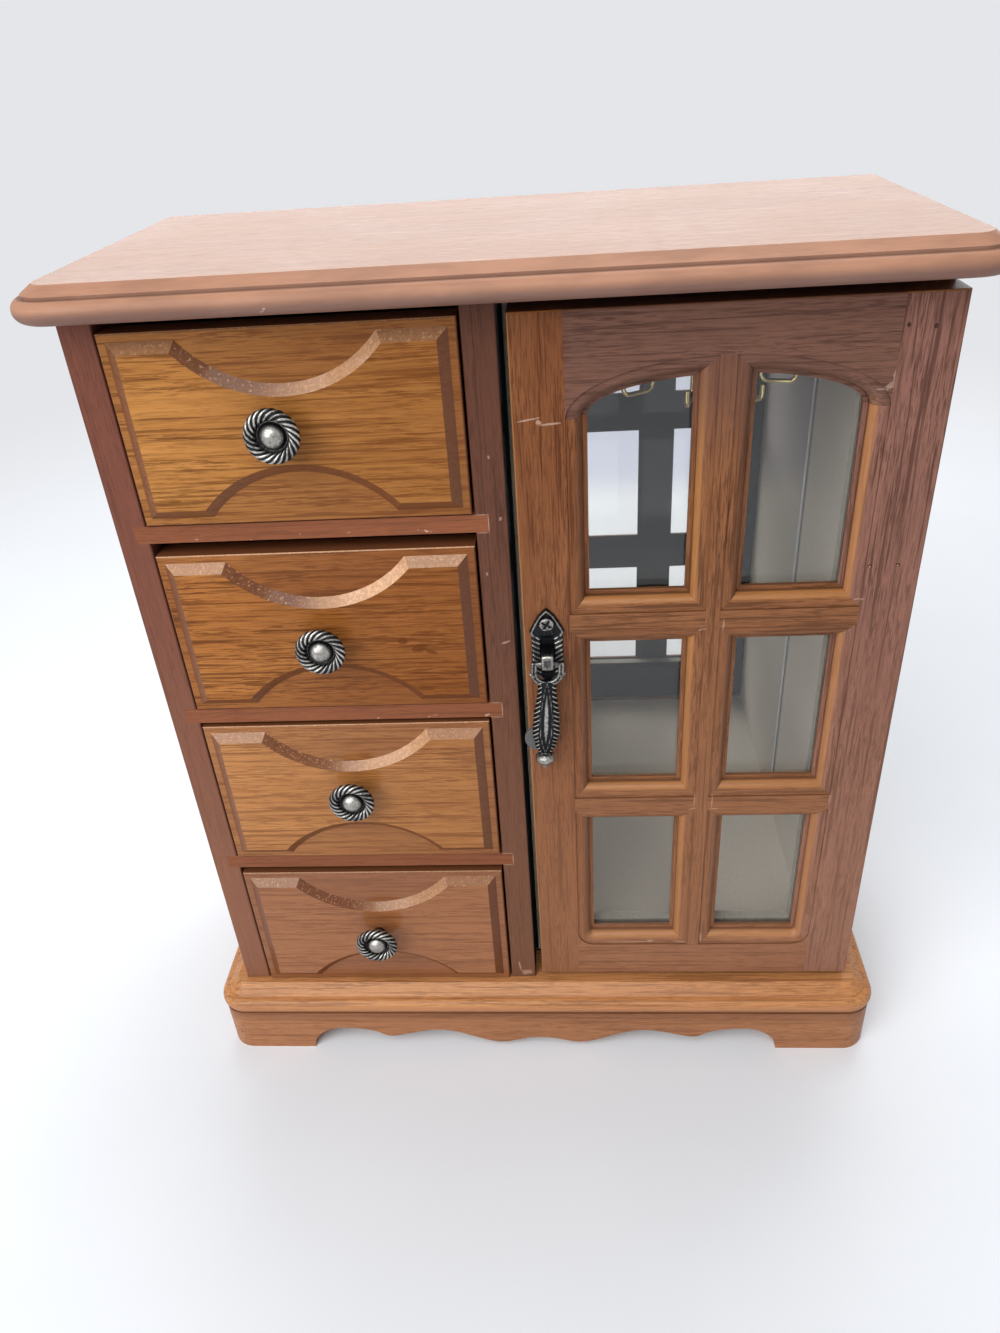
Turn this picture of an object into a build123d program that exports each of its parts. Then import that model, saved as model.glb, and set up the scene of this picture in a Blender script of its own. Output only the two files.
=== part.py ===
from build123d import *
from math import acos, atan, cos, degrees, radians, sin, sqrt
import os

# A table-top jewelry armoire: four drawers on the left, a glazed door on the right, a necklace
# carousel behind it. Millimetres, +Z up, front towards -Y, origin on the floor below the middle.

# Case
case_width = 240.0
case_depth = 108.0
case_height = 263.0
panel_thickness = 9.6
divider_middle = -6.0
back_thickness = 3.0
back_let_in = 4.5
sub_top_thickness = 4.5
sub_top_setback = 14.0
arris = 0.6
glue_line = 0.05

# Edge moulding shared by the top and the base: a bullnose, a small quirk and a sloping cove
quirk_step = 0.7
edge_core = 9.5

# Top board
top_thickness = 9.5
top_side_overhang = 8.8
top_front_overhang = 13.5
top_corner_radius = 13.0
top_flat_inset = 6.8
top_cove_drop = 2.4

# Base board
base_thickness = 11.0
base_side_overhang = 11.5
base_front_overhang = 10.5
base_corner_radius = 11.5
base_flat_inset = 7.7
base_cove_drop = 3.5

# Aprons and feet
apron_height = 21.0
apron_thickness = 10.0
apron_setback = 1.0
apron_corner_radius = 9.5
foot_length = 36.0
foot_curve_width = 13.0
foot_curve_height = 12.0
side_foot_length = 18.0

# Scallops of the front apron: share of the way from the middle to the foot curve, and height
wave = ((0.0, 6.5), (0.19, 3.5), (0.51, 11.0), (0.76, 7.0))

# Drawer rails and runners
rail_height = 5.6
rail_depth = 22.0
rail_let_in = 4.0
runner_width = 5.0

# Drawers; the gaps over the fronts and the knob places were fitted by hand, top drawer first
front_top_gaps = (4.8, 4.2, 1.4, 2.5)
knob_shifts = ((-2.9, 1.0), (-0.6, -1.4), (0.5, 3.3), (0.0, 0.0))
front_thickness = 9.0
front_proud = 0.8
front_side_gap = 0.7
front_bottom_gap = 0.4
wall_thickness = 6.0
wall_height = 40.0
wall_side_gap = 1.0
running_gap = 0.3
drawer_rear_gap = 4.0
drawer_bottom_thickness = 3.0
drawer_bottom_lift = 2.0
groove_depth = 2.5
liner_thickness = 1.0
liner_gap = 0.2

# Raised field of a drawer front: lip around it, bevelled edge and two round bites
field_lip = 2.4
field_height = 2.2
field_bevel = 3.0
bite_width = 55.0
bite_depth = 13.0

# Knobs
knob_radius = 8.0
knob_length = 9.5
knob_rim_radius = 1.7
knob_neck_radius = 2.7
knob_collar_radius = 4.0
knob_collar_height = 0.85
knob_dome_radius = 4.4
knob_dome_rise = 2.55
knob_screw_radius = 1.5
knob_screw_bite = 4.0
knob_screw_head_radius = 3.0
knob_screw_head_height = 2.0
thread_clearance = 0.05

# Door frame
door_thickness = 12.0
door_lock_gap = 2.7
door_bottom_gap = 2.2
door_top_gap = 4.8
door_back_gap = 0.5
lock_stile_width = 14.8
hinge_stile_width = 16.0
bottom_rail_width = 16.1
top_rail_width = 13.6
mullion_width = 4.6
muntin_width = 6.1
pane_rows = 3
arch_rise = 9.8

# Sticking around each pane: quirk, ovolo and a flat strip beside the glass
moulding_width = 6.2
sticking_quirk = 0.6
ovolo_radius = 3.6
strip_width = 1.4
strip_wall = 0.1
sight_depth = 5.6
mitre_reach = 1.0

# Glass and its glazing strips
glass_thickness = 2.0
glass_lap = 3.4
glazing_depth = 4.0

# Butt hinges
hinge_height = 22.0
hinge_end_margin = 32.0
leaf_width = 8.5
leaf_thickness = 0.75
leaf_gap = 0.1
knuckle_radius = 1.6
knuckle_clearance = 0.35
knuckle_gap = 0.3
pin_radius = 0.8
pin_clearance = 0.04
pin_head = 0.6
screw_radius = 0.9
screw_head_radius = 1.7
screw_length = 6.5
screw_spacing = 13.0
screw_clearance = 0.03

# Magnet catch at the top of the door
magnet_width = 14.0
magnet_depth = 8.0
magnet_height = 8.0
magnet_offset = 22.0
magnet_gap = 0.4
strike_thickness = 0.6

# Cupboard lining and mirror
felt_thickness = 1.0
mirror_thickness = 2.0

# Drop pull on the lock stile
pull_post_height = 152.6
plate_thickness = 1.6
plate_tip = 16.9
plate_shoulder = 8.8
plate_shoulder_width = 11.3
plate_waist = 7.6
plate_body_width = 10.1
plate_foot = 11.0
plate_foot_shoulder = 5.5
post_width = 4.0
post_above_pin = 4.2
post_below_pin = 1.4
post_length = 8.2
pull_pin_depth = 5.4
pull_pin_radius = 0.8
ring_radius = 4.3
ring_wire_radius = 0.85
ring_drop = 3.3
leaf_length = 28.5
ball_radius = 3.3
ball_sink = 0.75
pull_screw_height = 12.0
pull_screw_radius = 1.2
pull_screw_head_radius = 2.4
pull_screw_head_height = 0.9
pull_screw_length = 8.0
bumper_radius = 4.6
bumper_thickness = 1.5
bumper_drop = 32.6
bumper_overhang = 1.4
bumper_round = 0.5

# Leaf of the drop pull: share of its length, half width and half depth
leaf_stations = (
    (0.0, 2.2, 1.4),
    (0.22, 3.0, 1.7),
    (0.47, 3.9, 1.9),
    (0.73, 4.4, 2.0),
    (0.9, 3.3, 1.8),
    (1.0, 2.0, 1.5),
)

# Necklace carousel
carousel_depth = 57.7
disc_radius = 31.0
disc_thickness = 6.0
disc_drop = 27.0
disc_round = 1.2
hub_radius = 9.0
pivot_radius = 1.5
pivot_clearance = 0.05
pivot_head_radius = 3.5
pivot_head_height = 2.0
hook_count = 8
hook_inner = 19.0
hook_reach = 11.0
hook_drop = 10.2
hook_start = 30.0
hook_tip = 5.0
hook_bend = 2.4
hook_wire_radius = 0.7
hook_seat = 3.0

# Levels and faces worked out from the above
base_bottom = apron_height
base_top = base_bottom + base_thickness
case_top = base_top + case_height
overall_depth = top_front_overhang + case_depth
case_front = top_front_overhang - overall_depth / 2
case_back = case_front + case_depth
back_inside = case_back - back_thickness
case_edge = case_width / 2
bay_left = panel_thickness - case_edge
bay_right = divider_middle - panel_thickness / 2
cupboard_left = divider_middle + panel_thickness / 2
cupboard_right = case_edge - panel_thickness


def face_plane(y):
    """Vertical plane seen from the front, with global x and z as its own x and y."""
    return Plane((0, y, 0), x_dir=(1, 0, 0), z_dir=(0, -1, 0))


def slab(x, y, z, mode=Mode.ADD):
    """Rectangular block between two x, two y and two z values."""
    with Locations(((x[0] + x[1]) / 2, (y[0] + y[1]) / 2, (z[0] + z[1]) / 2)):
        Box(x[1] - x[0], y[1] - y[0], z[1] - z[0], mode=mode)


def rod(start, direction, radius, length, mode=Mode.ADD):
    """Round bar from a start point along a direction."""
    with BuildSketch(Plane(start, z_dir=direction)) as section:
        Circle(radius)
    extrude(section.sketch, amount=length, mode=mode)


def save(piece, name):
    """Label a finished piece and write it as one node."""
    piece.part.label = name
    export_step(piece.part, f"parts/{name}.step")


os.makedirs("parts", exist_ok=True)


# Top and base boards


def moulded_board(half_width, front, bottom, thickness, radius, flat_inset, cove_drop):
    """Board with a moulded edge on the front and both sides, square at the back."""
    nose = (thickness - cove_drop - quirk_step) / 2
    with BuildLine(Plane.XY.offset(bottom)) as edge:
        FilletPolyline(
            (-half_width, case_back),
            (-half_width, front),
            (half_width, front),
            (half_width, case_back),
            radius=radius,
        )
    start = Plane((-half_width, case_back, bottom), x_dir=(1, 0, 0), z_dir=(0, -1, 0))
    with BuildSketch(start) as section:
        with BuildLine():
            ThreePointArc((nose, 0), (0, nose), (nose, 2 * nose))
            Polyline(
                (nose, 2 * nose),
                (nose, 2 * nose + quirk_step),
                (flat_inset, thickness),
                (edge_core, thickness),
                (edge_core, 0),
                (nose, 0),
            )
        make_face()
    sweep(section.sketch, path=edge.wire())
    inner = half_width - edge_core
    with BuildSketch(Plane.XY.offset(bottom)) as core:
        with BuildLine():
            FilletPolyline(
                (-inner, case_back),
                (-inner, front + edge_core),
                (inner, front + edge_core),
                (inner, case_back),
                radius=radius - edge_core,
            )
            Line((inner, case_back), (-inner, case_back))
        make_face()
    extrude(core.sketch, amount=thickness)


with BuildPart() as top_board:
    moulded_board(
        case_edge + top_side_overhang,
        case_front - top_front_overhang,
        case_top,
        top_thickness,
        top_corner_radius,
        top_flat_inset,
        top_cove_drop,
    )
save(top_board, "top_board")

with BuildPart() as base_board:
    moulded_board(
        case_edge + base_side_overhang,
        case_front - base_front_overhang,
        base_bottom,
        base_thickness,
        base_corner_radius,
        base_flat_inset,
        base_cove_drop,
    )
save(base_board, "base_board")


# Aprons: the front one carries scallops, the others a plain arch between their feet

apron_edge = case_edge + base_side_overhang - apron_setback
apron_front = case_front - base_front_overhang + apron_setback
apron_inside = apron_front + apron_thickness
wave_end = apron_edge - foot_length - foot_curve_width


def foot_curve(x, start):
    """Quarter of an ellipse where the arch runs down into a foot."""
    EllipticalCenterArc((x, 0), foot_curve_width, foot_curve_height, start_angle=start, arc_size=90)


def arch_profile(length, foot):
    """Front view of an apron board: two feet joined by a flat arch with rounded shoulders."""
    half = length / 2
    shoulder = half - foot - foot_curve_width
    with BuildLine() as outline:
        Line((shoulder, foot_curve_height), (-shoulder, foot_curve_height))
        foot_curve(-shoulder, 90)
        Polyline(
            (-half + foot, 0),
            (-half, 0),
            (-half, apron_height),
            (half, apron_height),
            (half, 0),
            (half - foot, 0),
        )
        foot_curve(shoulder, 0)
    make_face(outline.edges())


with BuildPart() as front_apron:
    with BuildSketch(face_plane(apron_front)):
        with BuildLine() as half_outline:
            scallop = [(share * wave_end, height) for share, height in wave]
            Spline(*scallop, (wave_end, foot_curve_height), tangents=((1, 0), (1, 0)))
            foot_curve(wave_end, 0)
            Polyline(
                (wave_end + foot_curve_width, 0),
                (apron_edge, 0),
                (apron_edge, apron_height),
                (0, apron_height),
                (0, wave[0][1]),
            )
        make_face()
        mirror(about=Plane.YZ)
    extrude(amount=-apron_thickness)
    corners = front_apron.edges().filter_by(Axis.Z).group_by(Axis.Y)[0]
    fillet(corners, apron_corner_radius)
save(front_apron, "front_apron")

side_apron_length = case_back - apron_inside
side_apron_middle = (case_back + apron_inside) / 2
with BuildPart() as side_aprons:
    for x in (-apron_edge, apron_edge - apron_thickness):
        with BuildSketch(Plane((x, side_apron_middle, 0), x_dir=(0, 1, 0), z_dir=(1, 0, 0))):
            arch_profile(side_apron_length, side_foot_length)
        extrude(amount=apron_thickness)
save(side_aprons, "side_aprons")

with BuildPart() as rear_apron:
    with BuildSketch(face_plane(case_back)):
        arch_profile(2 * (apron_edge - apron_thickness), foot_length - apron_thickness)
    extrude(amount=apron_thickness)
save(rear_apron, "rear_apron")


# Openings for the drawers, counted from the top

drawer_count = len(front_top_gaps)
opening_height = (case_height - (drawer_count - 1) * rail_height) / drawer_count
drawer_pitch = opening_height + rail_height
opening_bottoms = [base_top + (drawer_count - 1 - i) * drawer_pitch for i in range(drawer_count)]
rail_tops = opening_bottoms[:-1]


# Hinge axis and hinge places, needed by the side, the door and the leaves

door_front = case_front
door_back = door_front + door_thickness
side_front = door_back + door_back_gap
door_left = cupboard_left + door_lock_gap
door_bottom = base_top + door_bottom_gap
door_top = case_top - door_top_gap
hinge_y = (door_back + side_front) / 2
hinge_x = case_edge + knuckle_radius + knuckle_clearance
hinge_middles = (door_bottom + hinge_end_margin, door_top - hinge_end_margin)
leaf_inner = case_edge - leaf_width
leaf_outer = case_edge - knuckle_clearance
door_leaf_y = (hinge_y - leaf_gap / 2 - leaf_thickness, hinge_y - leaf_gap / 2)
case_leaf_y = (hinge_y + leaf_gap / 2, hinge_y + leaf_gap / 2 + leaf_thickness)
screw_x = (leaf_inner + leaf_outer) / 2
screw_places = [(screw_x, z + s * screw_spacing / 2) for z in hinge_middles for s in (-1, 1)]


def countersunk_screw(start, direction, clearance=0.0, mode=Mode.ADD):
    """Countersunk wood screw whose head lies flush with its start point."""
    plane = Plane(start, x_dir=(0, 0, 1), z_dir=direction)
    with BuildSketch(plane) as head:
        Circle(screw_head_radius + clearance)
    with BuildSketch(plane.offset(leaf_thickness + clearance)) as neck:
        Circle(screw_radius + clearance)
    loft([head.sketch, neck.sketch], mode=mode)
    rod(start, direction, screw_radius + clearance, screw_length + clearance, mode=mode)


def leaf_mortises(y):
    """Shallow seats for the two hinge leaves."""
    for z in hinge_middles:
        half = hinge_height / 2
        slab((leaf_inner, case_edge + arris), y, (z - half, z + half), mode=Mode.SUBTRACT)


# Case panels

with BuildPart() as left_side:
    slab((-case_edge, bay_left), (case_front, case_back), (base_top, case_top))
    front_edges = left_side.edges().filter_by(Axis.Z).group_by(Axis.Y)[0]
    fillet(front_edges, arris)
    slab(
        (bay_left - back_let_in, bay_left),
        (back_inside, case_back),
        (base_top, case_top),
        mode=Mode.SUBTRACT,
    )
    for z in rail_tops:
        slab(
            (bay_left - rail_let_in, bay_left),
            (case_front, case_front + rail_depth),
            (z - rail_height, z),
            mode=Mode.SUBTRACT,
        )
save(left_side, "left_side")

with BuildPart() as right_side:
    slab((cupboard_right, case_edge), (side_front, case_back), (base_top, case_top))
    slab(
        (cupboard_right, cupboard_right + back_let_in),
        (back_inside, case_back),
        (base_top, case_top),
        mode=Mode.SUBTRACT,
    )
    leaf_mortises((side_front, case_leaf_y[1]))
    for x, z in screw_places:
        countersunk_screw((x, case_leaf_y[0], z), (0, 1, 0), screw_clearance, mode=Mode.SUBTRACT)
save(right_side, "right_side")

with BuildPart() as divider:
    slab((bay_right, cupboard_left), (case_front, back_inside), (base_top, case_top))
    front_edges = divider.edges().filter_by(Axis.Z).group_by(Axis.Y)[0]
    fillet(front_edges, arris)
    for z in rail_tops:
        slab(
            (bay_right, bay_right + rail_let_in),
            (case_front, case_front + rail_depth),
            (z - rail_height, z),
            mode=Mode.SUBTRACT,
        )
save(divider, "divider")

with BuildPart() as back_panel:
    slab(
        (bay_left - back_let_in, cupboard_right + back_let_in),
        (back_inside, case_back),
        (base_top, case_top),
    )
save(back_panel, "back_panel")

sub_top_bottom = case_top - sub_top_thickness
carousel_x = (door_left + case_edge) / 2
carousel_y = case_front + carousel_depth
disc_bottom = sub_top_bottom - disc_drop
pivot_bottom = disc_bottom - running_gap - pivot_head_height
with BuildPart() as sub_top:
    for x in ((bay_left, bay_right), (cupboard_left, cupboard_right)):
        slab(x, (case_front + sub_top_setback, back_inside), (sub_top_bottom, case_top))
    pivot_hole = (carousel_x, carousel_y, sub_top_bottom)
    rod(pivot_hole, (0, 0, 1), pivot_radius, sub_top_thickness, mode=Mode.SUBTRACT)
save(sub_top, "sub_top")

with BuildPart() as drawer_rails:
    for z in rail_tops:
        slab(
            (bay_left - rail_let_in, bay_right + rail_let_in),
            (case_front, case_front + rail_depth),
            (z - rail_height, z),
        )
save(drawer_rails, "drawer_rails")

with BuildPart() as drawer_runners:
    for z in rail_tops:
        for x in ((bay_left, bay_left + runner_width), (bay_right - runner_width, bay_right)):
            slab(x, (case_front + rail_depth, back_inside), (z - rail_height, z))
save(drawer_runners, "drawer_runners")


# Cupboard: mirror at the back, felt on both walls and the floor, magnet under the sub-top

lining_front = side_front + felt_thickness
mirror_front = back_inside - mirror_thickness
felt_top = base_top + felt_thickness
with BuildPart() as cupboard_lining:
    felt_y = (lining_front, mirror_front)
    felt_z = (felt_top + glue_line, sub_top_bottom)
    slab((cupboard_left, cupboard_left + felt_thickness), felt_y, felt_z)
    slab((cupboard_right - felt_thickness, cupboard_right), felt_y, felt_z)
    slab((cupboard_left, cupboard_right), felt_y, (base_top, felt_top))
save(cupboard_lining, "cupboard_lining")

with BuildPart() as mirror_glass:
    slab((cupboard_left, cupboard_right), (mirror_front, back_inside), (base_top, sub_top_bottom))
save(mirror_glass, "mirror")

magnet_x = (door_left + magnet_offset, door_left + magnet_offset + magnet_width)
magnet_front = door_back + magnet_gap
with BuildPart() as door_magnet:
    magnet_y = (magnet_front, magnet_front + magnet_depth)
    slab(magnet_x, magnet_y, (sub_top_bottom - magnet_height, sub_top_bottom))
    front_edges = door_magnet.edges().filter_by(Axis.X).group_by(Axis.Y)[0].sort_by(Axis.Z)[:1]
    fillet(front_edges, arris)
save(door_magnet, "door_magnet")


# Front layer of the door frame as one outline, then cut into stiles, rails, mullion and muntins;
# the stiles and rails run on behind it, around the glass

lock_flat = door_left + lock_stile_width
hinge_flat = case_edge - hinge_stile_width
door_middle = (lock_flat + hinge_flat) / 2
mullion_left = door_middle - mullion_width / 2
mullion_right = door_middle + mullion_width / 2
rail_flat = door_bottom + bottom_rail_width
arch_outer_top = door_top - top_rail_width
spring = arch_outer_top - moulding_width - arch_rise
pane_pitch = (spring - rail_flat + muntin_width + moulding_width) / pane_rows
pane_height = pane_pitch - muntin_width - 2 * moulding_width
pane_bottoms = [rail_flat + moulding_width + i * pane_pitch for i in range(pane_rows)]
pane_columns = (
    (lock_flat + moulding_width, mullion_left - moulding_width),
    (mullion_right + moulding_width, hinge_flat - moulding_width),
)
arch_half = door_middle - lock_flat - moulding_width


def arch_height(x, grow):
    """Height of the arch over the panes, grown outwards, at a given x."""
    share = (x - door_middle) / (arch_half + grow)
    return spring + (arch_rise + grow) * sqrt(1 - share**2)


def pane_outline(column, row, grow):
    """Outline of one pane grown by a margin: the top row is arched, the foot is rounded outside."""
    left, right = pane_columns[column]
    left, right = left - grow, right + grow
    bottom = pane_bottoms[row] - grow
    top = pane_bottoms[row] + pane_height + grow
    outer, inner = (left, right) if column == 0 else (right, left)
    with BuildLine() as outline:
        if row == pane_rows - 1:
            crown = arch_height(inner, grow)
            turn = degrees(acos((inner - door_middle) / (arch_half + grow)))
            start, size = (turn, 180 - turn) if column == 0 else (0, turn)
            EllipticalCenterArc(
                (door_middle, spring),
                arch_half + grow,
                arch_rise + grow,
                start_angle=start,
                arc_size=size,
            )
            Polyline((outer, spring), (outer, bottom), (inner, bottom), (inner, crown))
        elif row == 0 and grow > 0:
            foot = FilletPolyline((outer, top), (outer, bottom), (inner, bottom), radius=grow)
            Polyline(foot @ 1, (inner, top), (outer, top))
        else:
            Polyline((outer, top), (outer, bottom), (inner, bottom), (inner, top), close=True)
    make_face(outline.edges())


def cut_panes(grow, depth):
    """Sink all panes, grown by a margin, into the face of the door."""
    with BuildSketch(face_plane(door_front)) as panes:
        for column in (0, 1):
            for row in range(pane_rows):
                pane_outline(column, row, grow)
    extrude(panes.sketch, amount=-depth, mode=Mode.SUBTRACT)


glass_x = (pane_columns[0][0] - glass_lap, pane_columns[1][1] + glass_lap)
glass_z = (pane_bottoms[0] - glass_lap, spring + arch_rise + glass_lap)
glass_front = door_front + sight_depth
glass_back = glass_front + glass_thickness
strip_depth = sticking_quirk + ovolo_radius + strip_wall
with BuildPart() as door_frame:
    slab((door_left, case_edge), (door_front, glass_front), (door_bottom, door_top))
    fillet(door_frame.faces().sort_by(Axis.Y)[0].edges(), arris)
    cut_panes(moulding_width, sticking_quirk)
    cut_panes(strip_width, strip_depth)
    quirk_level = door_front + sticking_quirk
    ovolo_edges = door_frame.edges(Select.LAST).filter_by(
        lambda edge: abs(edge.bounding_box().min.Y - quirk_level) < strip_wall / 2
        and abs(edge.bounding_box().max.Y - quirk_level) < strip_wall / 2
    )
    fillet(ovolo_edges, ovolo_radius)
    cut_panes(0, sight_depth)

reach = moulding_width + mitre_reach
sight_corner = mullion_left - moulding_width
arch_mitre = (arch_height(mullion_left, moulding_width) - arch_height(sight_corner, 0)) / moulding_width
mullion_shoulder = arch_height(mullion_left, moulding_width)


def keep_region(*points):
    """Keep only the stretch of the door frame inside an outline seen from the front."""
    add(door_frame.part)
    with BuildSketch(face_plane(door_front)) as region:
        Polygon(*points, align=None)
    extrude(region.sketch, amount=-sight_depth, mode=Mode.INTERSECT)


def mitred_edge(flat, toward):
    """Points up one moulded edge of an upright, mitred at every muntin, up to the arch's spring."""
    inside = flat + toward * reach
    points = []
    for bottom in pane_bottoms:
        points.append((flat, bottom - moulding_width))
        points.append((inside, bottom + mitre_reach))
        points.append((inside, bottom + pane_height - mitre_reach))
        points.append((flat, bottom + pane_height + moulding_width))
    return points[:-2]


with BuildPart() as door_lock_stile:
    edge_points = mitred_edge(lock_flat, 1)
    keep_region(
        (door_left, door_bottom),
        (lock_flat, door_bottom),
        *edge_points,
        (lock_flat + reach, spring),
        (lock_flat, spring),
        (lock_flat, door_top),
        (door_left, door_top),
    )
    slab((door_left, glass_x[0]), (glass_front, door_back), (door_bottom, door_top))
    pull_x = (door_left + lock_flat) / 2
    post_z = base_top + pull_post_height
    rod(
        (pull_x, door_front, post_z + pull_screw_height),
        (0, 1, 0),
        pull_screw_radius + screw_clearance,
        pull_screw_length + screw_clearance,
        mode=Mode.SUBTRACT,
    )
save(door_lock_stile, "door_lock_stile")

with BuildPart() as door_hinge_stile:
    edge_points = mitred_edge(hinge_flat, -1)
    keep_region(
        (case_edge, door_bottom),
        (hinge_flat, door_bottom),
        *edge_points,
        (hinge_flat - reach, spring),
        (hinge_flat, spring),
        (hinge_flat, door_top),
        (case_edge, door_top),
    )
    slab((glass_x[1], case_edge), (glass_front, door_back), (door_bottom, door_top))
    leaf_mortises((door_leaf_y[0], door_back))
    for x, z in screw_places:
        countersunk_screw((x, door_leaf_y[1], z), (0, -1, 0), screw_clearance, mode=Mode.SUBTRACT)
save(door_hinge_stile, "door_hinge_stile")

mullion_feet = [(mullion_left, rail_flat), (mullion_right, rail_flat)]
arch_void = (mullion_left - reach, mullion_shoulder - reach * arch_mitre)
right_void = (2 * door_middle - arch_void[0], arch_void[1])
strike_z = (sub_top_bottom - magnet_height, door_top - arris)
strike_y = (door_back - strike_thickness, door_back)
with BuildPart() as door_top_rail:
    keep_region(
        (lock_flat, door_top),
        (lock_flat, spring),
        (lock_flat + reach, spring),
        arch_void,
        (mullion_left, mullion_shoulder),
        (mullion_right, mullion_shoulder),
        right_void,
        (hinge_flat - reach, spring),
        (hinge_flat, spring),
        (hinge_flat, door_top),
    )
    slab(glass_x, (glass_front, door_back), (glass_z[1], door_top))
    slab(magnet_x, strike_y, strike_z, mode=Mode.SUBTRACT)
save(door_top_rail, "door_top_rail")

with BuildPart() as door_bottom_rail:
    foot_void = pane_bottoms[0] + mitre_reach
    keep_region(
        (lock_flat, door_bottom),
        (lock_flat, rail_flat),
        (lock_flat + reach, foot_void),
        (mullion_left - reach, foot_void),
        *mullion_feet,
        (mullion_right + reach, foot_void),
        (hinge_flat - reach, foot_void),
        (hinge_flat, rail_flat),
        (hinge_flat, door_bottom),
    )
    slab(glass_x, (glass_front, door_back), (door_bottom, glass_z[0]))
save(door_bottom_rail, "door_bottom_rail")

with BuildPart() as door_mullion:
    left_edge = mitred_edge(mullion_left, -1)
    right_edge = mitred_edge(mullion_right, 1)
    keep_region(
        *left_edge,
        arch_void,
        (mullion_left, mullion_shoulder),
        (mullion_right, mullion_shoulder),
        right_void,
        *reversed(right_edge),
    )
save(door_mullion, "door_mullion")

with BuildPart() as door_muntins:
    add(door_frame.part)
    with BuildSketch(face_plane(door_front)):
        for left, right in ((lock_flat, mullion_left), (mullion_right, hinge_flat)):
            for bottom in pane_bottoms[1:]:
                high = bottom - moulding_width
                low = high - muntin_width
                Polygon(
                    (left, low),
                    (left + reach, low - reach),
                    (right - reach, low - reach),
                    (right, low),
                    (right, high),
                    (right - reach, high + reach),
                    (left + reach, high + reach),
                    (left, high),
                    align=None,
                )
    extrude(amount=-sight_depth, mode=Mode.INTERSECT)
save(door_muntins, "door_muntins")

with BuildPart() as door_glass:
    slab(glass_x, (glass_front, glass_back), glass_z)
save(door_glass, "door_glass")

glazing_y = (glass_back, glass_back + glazing_depth)
glazing_inner_x = (glass_x[0] + glass_lap, glass_x[1] - glass_lap)
with BuildPart() as glazing_strips:
    slab((glass_x[0], glazing_inner_x[0] - glue_line), glazing_y, glass_z)
    slab((glazing_inner_x[1] + glue_line, glass_x[1]), glazing_y, glass_z)
    slab(glazing_inner_x, glazing_y, (glass_z[0], glass_z[0] + glass_lap))
    slab(glazing_inner_x, glazing_y, (glass_z[1] - glass_lap, glass_z[1]))
save(glazing_strips, "glazing_strips")

with BuildPart() as door_strike_plate:
    slab(magnet_x, strike_y, strike_z)
save(door_strike_plate, "door_strike_plate")


# Hinges

knuckle_height = (hinge_height - 2 * knuckle_gap) / 3
knuckle_pitch = knuckle_height + knuckle_gap


def hinge_leaf(middle, y, knuckles):
    """One leaf: a plate, and a rolled knuckle at each given place along the pin."""
    bottom = middle - hinge_height / 2
    slab((leaf_inner, leaf_outer), y, (bottom, bottom + hinge_height))
    for place in knuckles:
        low = bottom + place * knuckle_pitch
        slab((leaf_outer, hinge_x), y, (low, low + knuckle_height))
        rod((hinge_x, hinge_y, low), (0, 0, 1), knuckle_radius, knuckle_height)
    bore_radius = pin_radius + pin_clearance
    rod((hinge_x, hinge_y, bottom), (0, 0, 1), bore_radius, hinge_height, mode=Mode.SUBTRACT)


with BuildPart() as hinge_case_leaves:
    for middle in hinge_middles:
        hinge_leaf(middle, case_leaf_y, (0, 2))
    for x, z in screw_places:
        countersunk_screw((x, case_leaf_y[0], z), (0, 1, 0), screw_clearance, mode=Mode.SUBTRACT)
save(hinge_case_leaves, "hinge_case_leaves")

with BuildPart() as hinge_door_leaves:
    for middle in hinge_middles:
        hinge_leaf(middle, door_leaf_y, (1,))
    for x, z in screw_places:
        countersunk_screw((x, door_leaf_y[1], z), (0, -1, 0), screw_clearance, mode=Mode.SUBTRACT)
save(hinge_door_leaves, "hinge_door_leaves")

with BuildPart() as hinge_pins:
    for middle in hinge_middles:
        bottom = middle - hinge_height / 2
        rod((hinge_x, hinge_y, bottom), (0, 0, 1), pin_radius, hinge_height)
        rod((hinge_x, hinge_y, bottom + hinge_height), (0, 0, 1), knuckle_radius, pin_head)
save(hinge_pins, "hinge_pins")

with BuildPart() as hinge_case_screws:
    for x, z in screw_places:
        countersunk_screw((x, case_leaf_y[0], z), (0, 1, 0))
save(hinge_case_screws, "hinge_case_screws")

with BuildPart() as hinge_door_screws:
    for x, z in screw_places:
        countersunk_screw((x, door_leaf_y[1], z), (0, -1, 0))
save(hinge_door_screws, "hinge_door_screws")


# Drop pull on the lock stile

plate_face = door_front - plate_thickness
pin_y = door_front - pull_pin_depth
with BuildPart() as pull_backplate:
    with BuildSketch(face_plane(door_front)):
        half_shoulder = plate_shoulder_width / 2
        half_body = plate_body_width / 2
        outline = [
            (0, plate_tip),
            (half_shoulder, plate_shoulder),
            (half_body, plate_waist),
            (half_body, -plate_foot_shoulder),
            (0, -plate_foot),
            (-half_body, -plate_foot_shoulder),
            (-half_body, plate_waist),
            (-half_shoulder, plate_shoulder),
        ]
        Polygon(*[(pull_x + x, post_z + z) for x, z in outline], align=None)
    extrude(amount=plate_thickness)
    post_x = (pull_x - post_width / 2, pull_x + post_width / 2)
    post_levels = (post_z - post_below_pin, post_z + post_above_pin)
    slab(post_x, (door_front - post_length, plate_face), post_levels)
    rod(
        (post_x[0], pin_y, post_z),
        (1, 0, 0),
        pull_pin_radius + pin_clearance,
        post_width,
        mode=Mode.SUBTRACT,
    )
    rod(
        (pull_x, plate_face, post_z + pull_screw_height),
        (0, 1, 0),
        pull_screw_radius + screw_clearance,
        plate_thickness,
        mode=Mode.SUBTRACT,
    )
save(pull_backplate, "pull_backplate")

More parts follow.
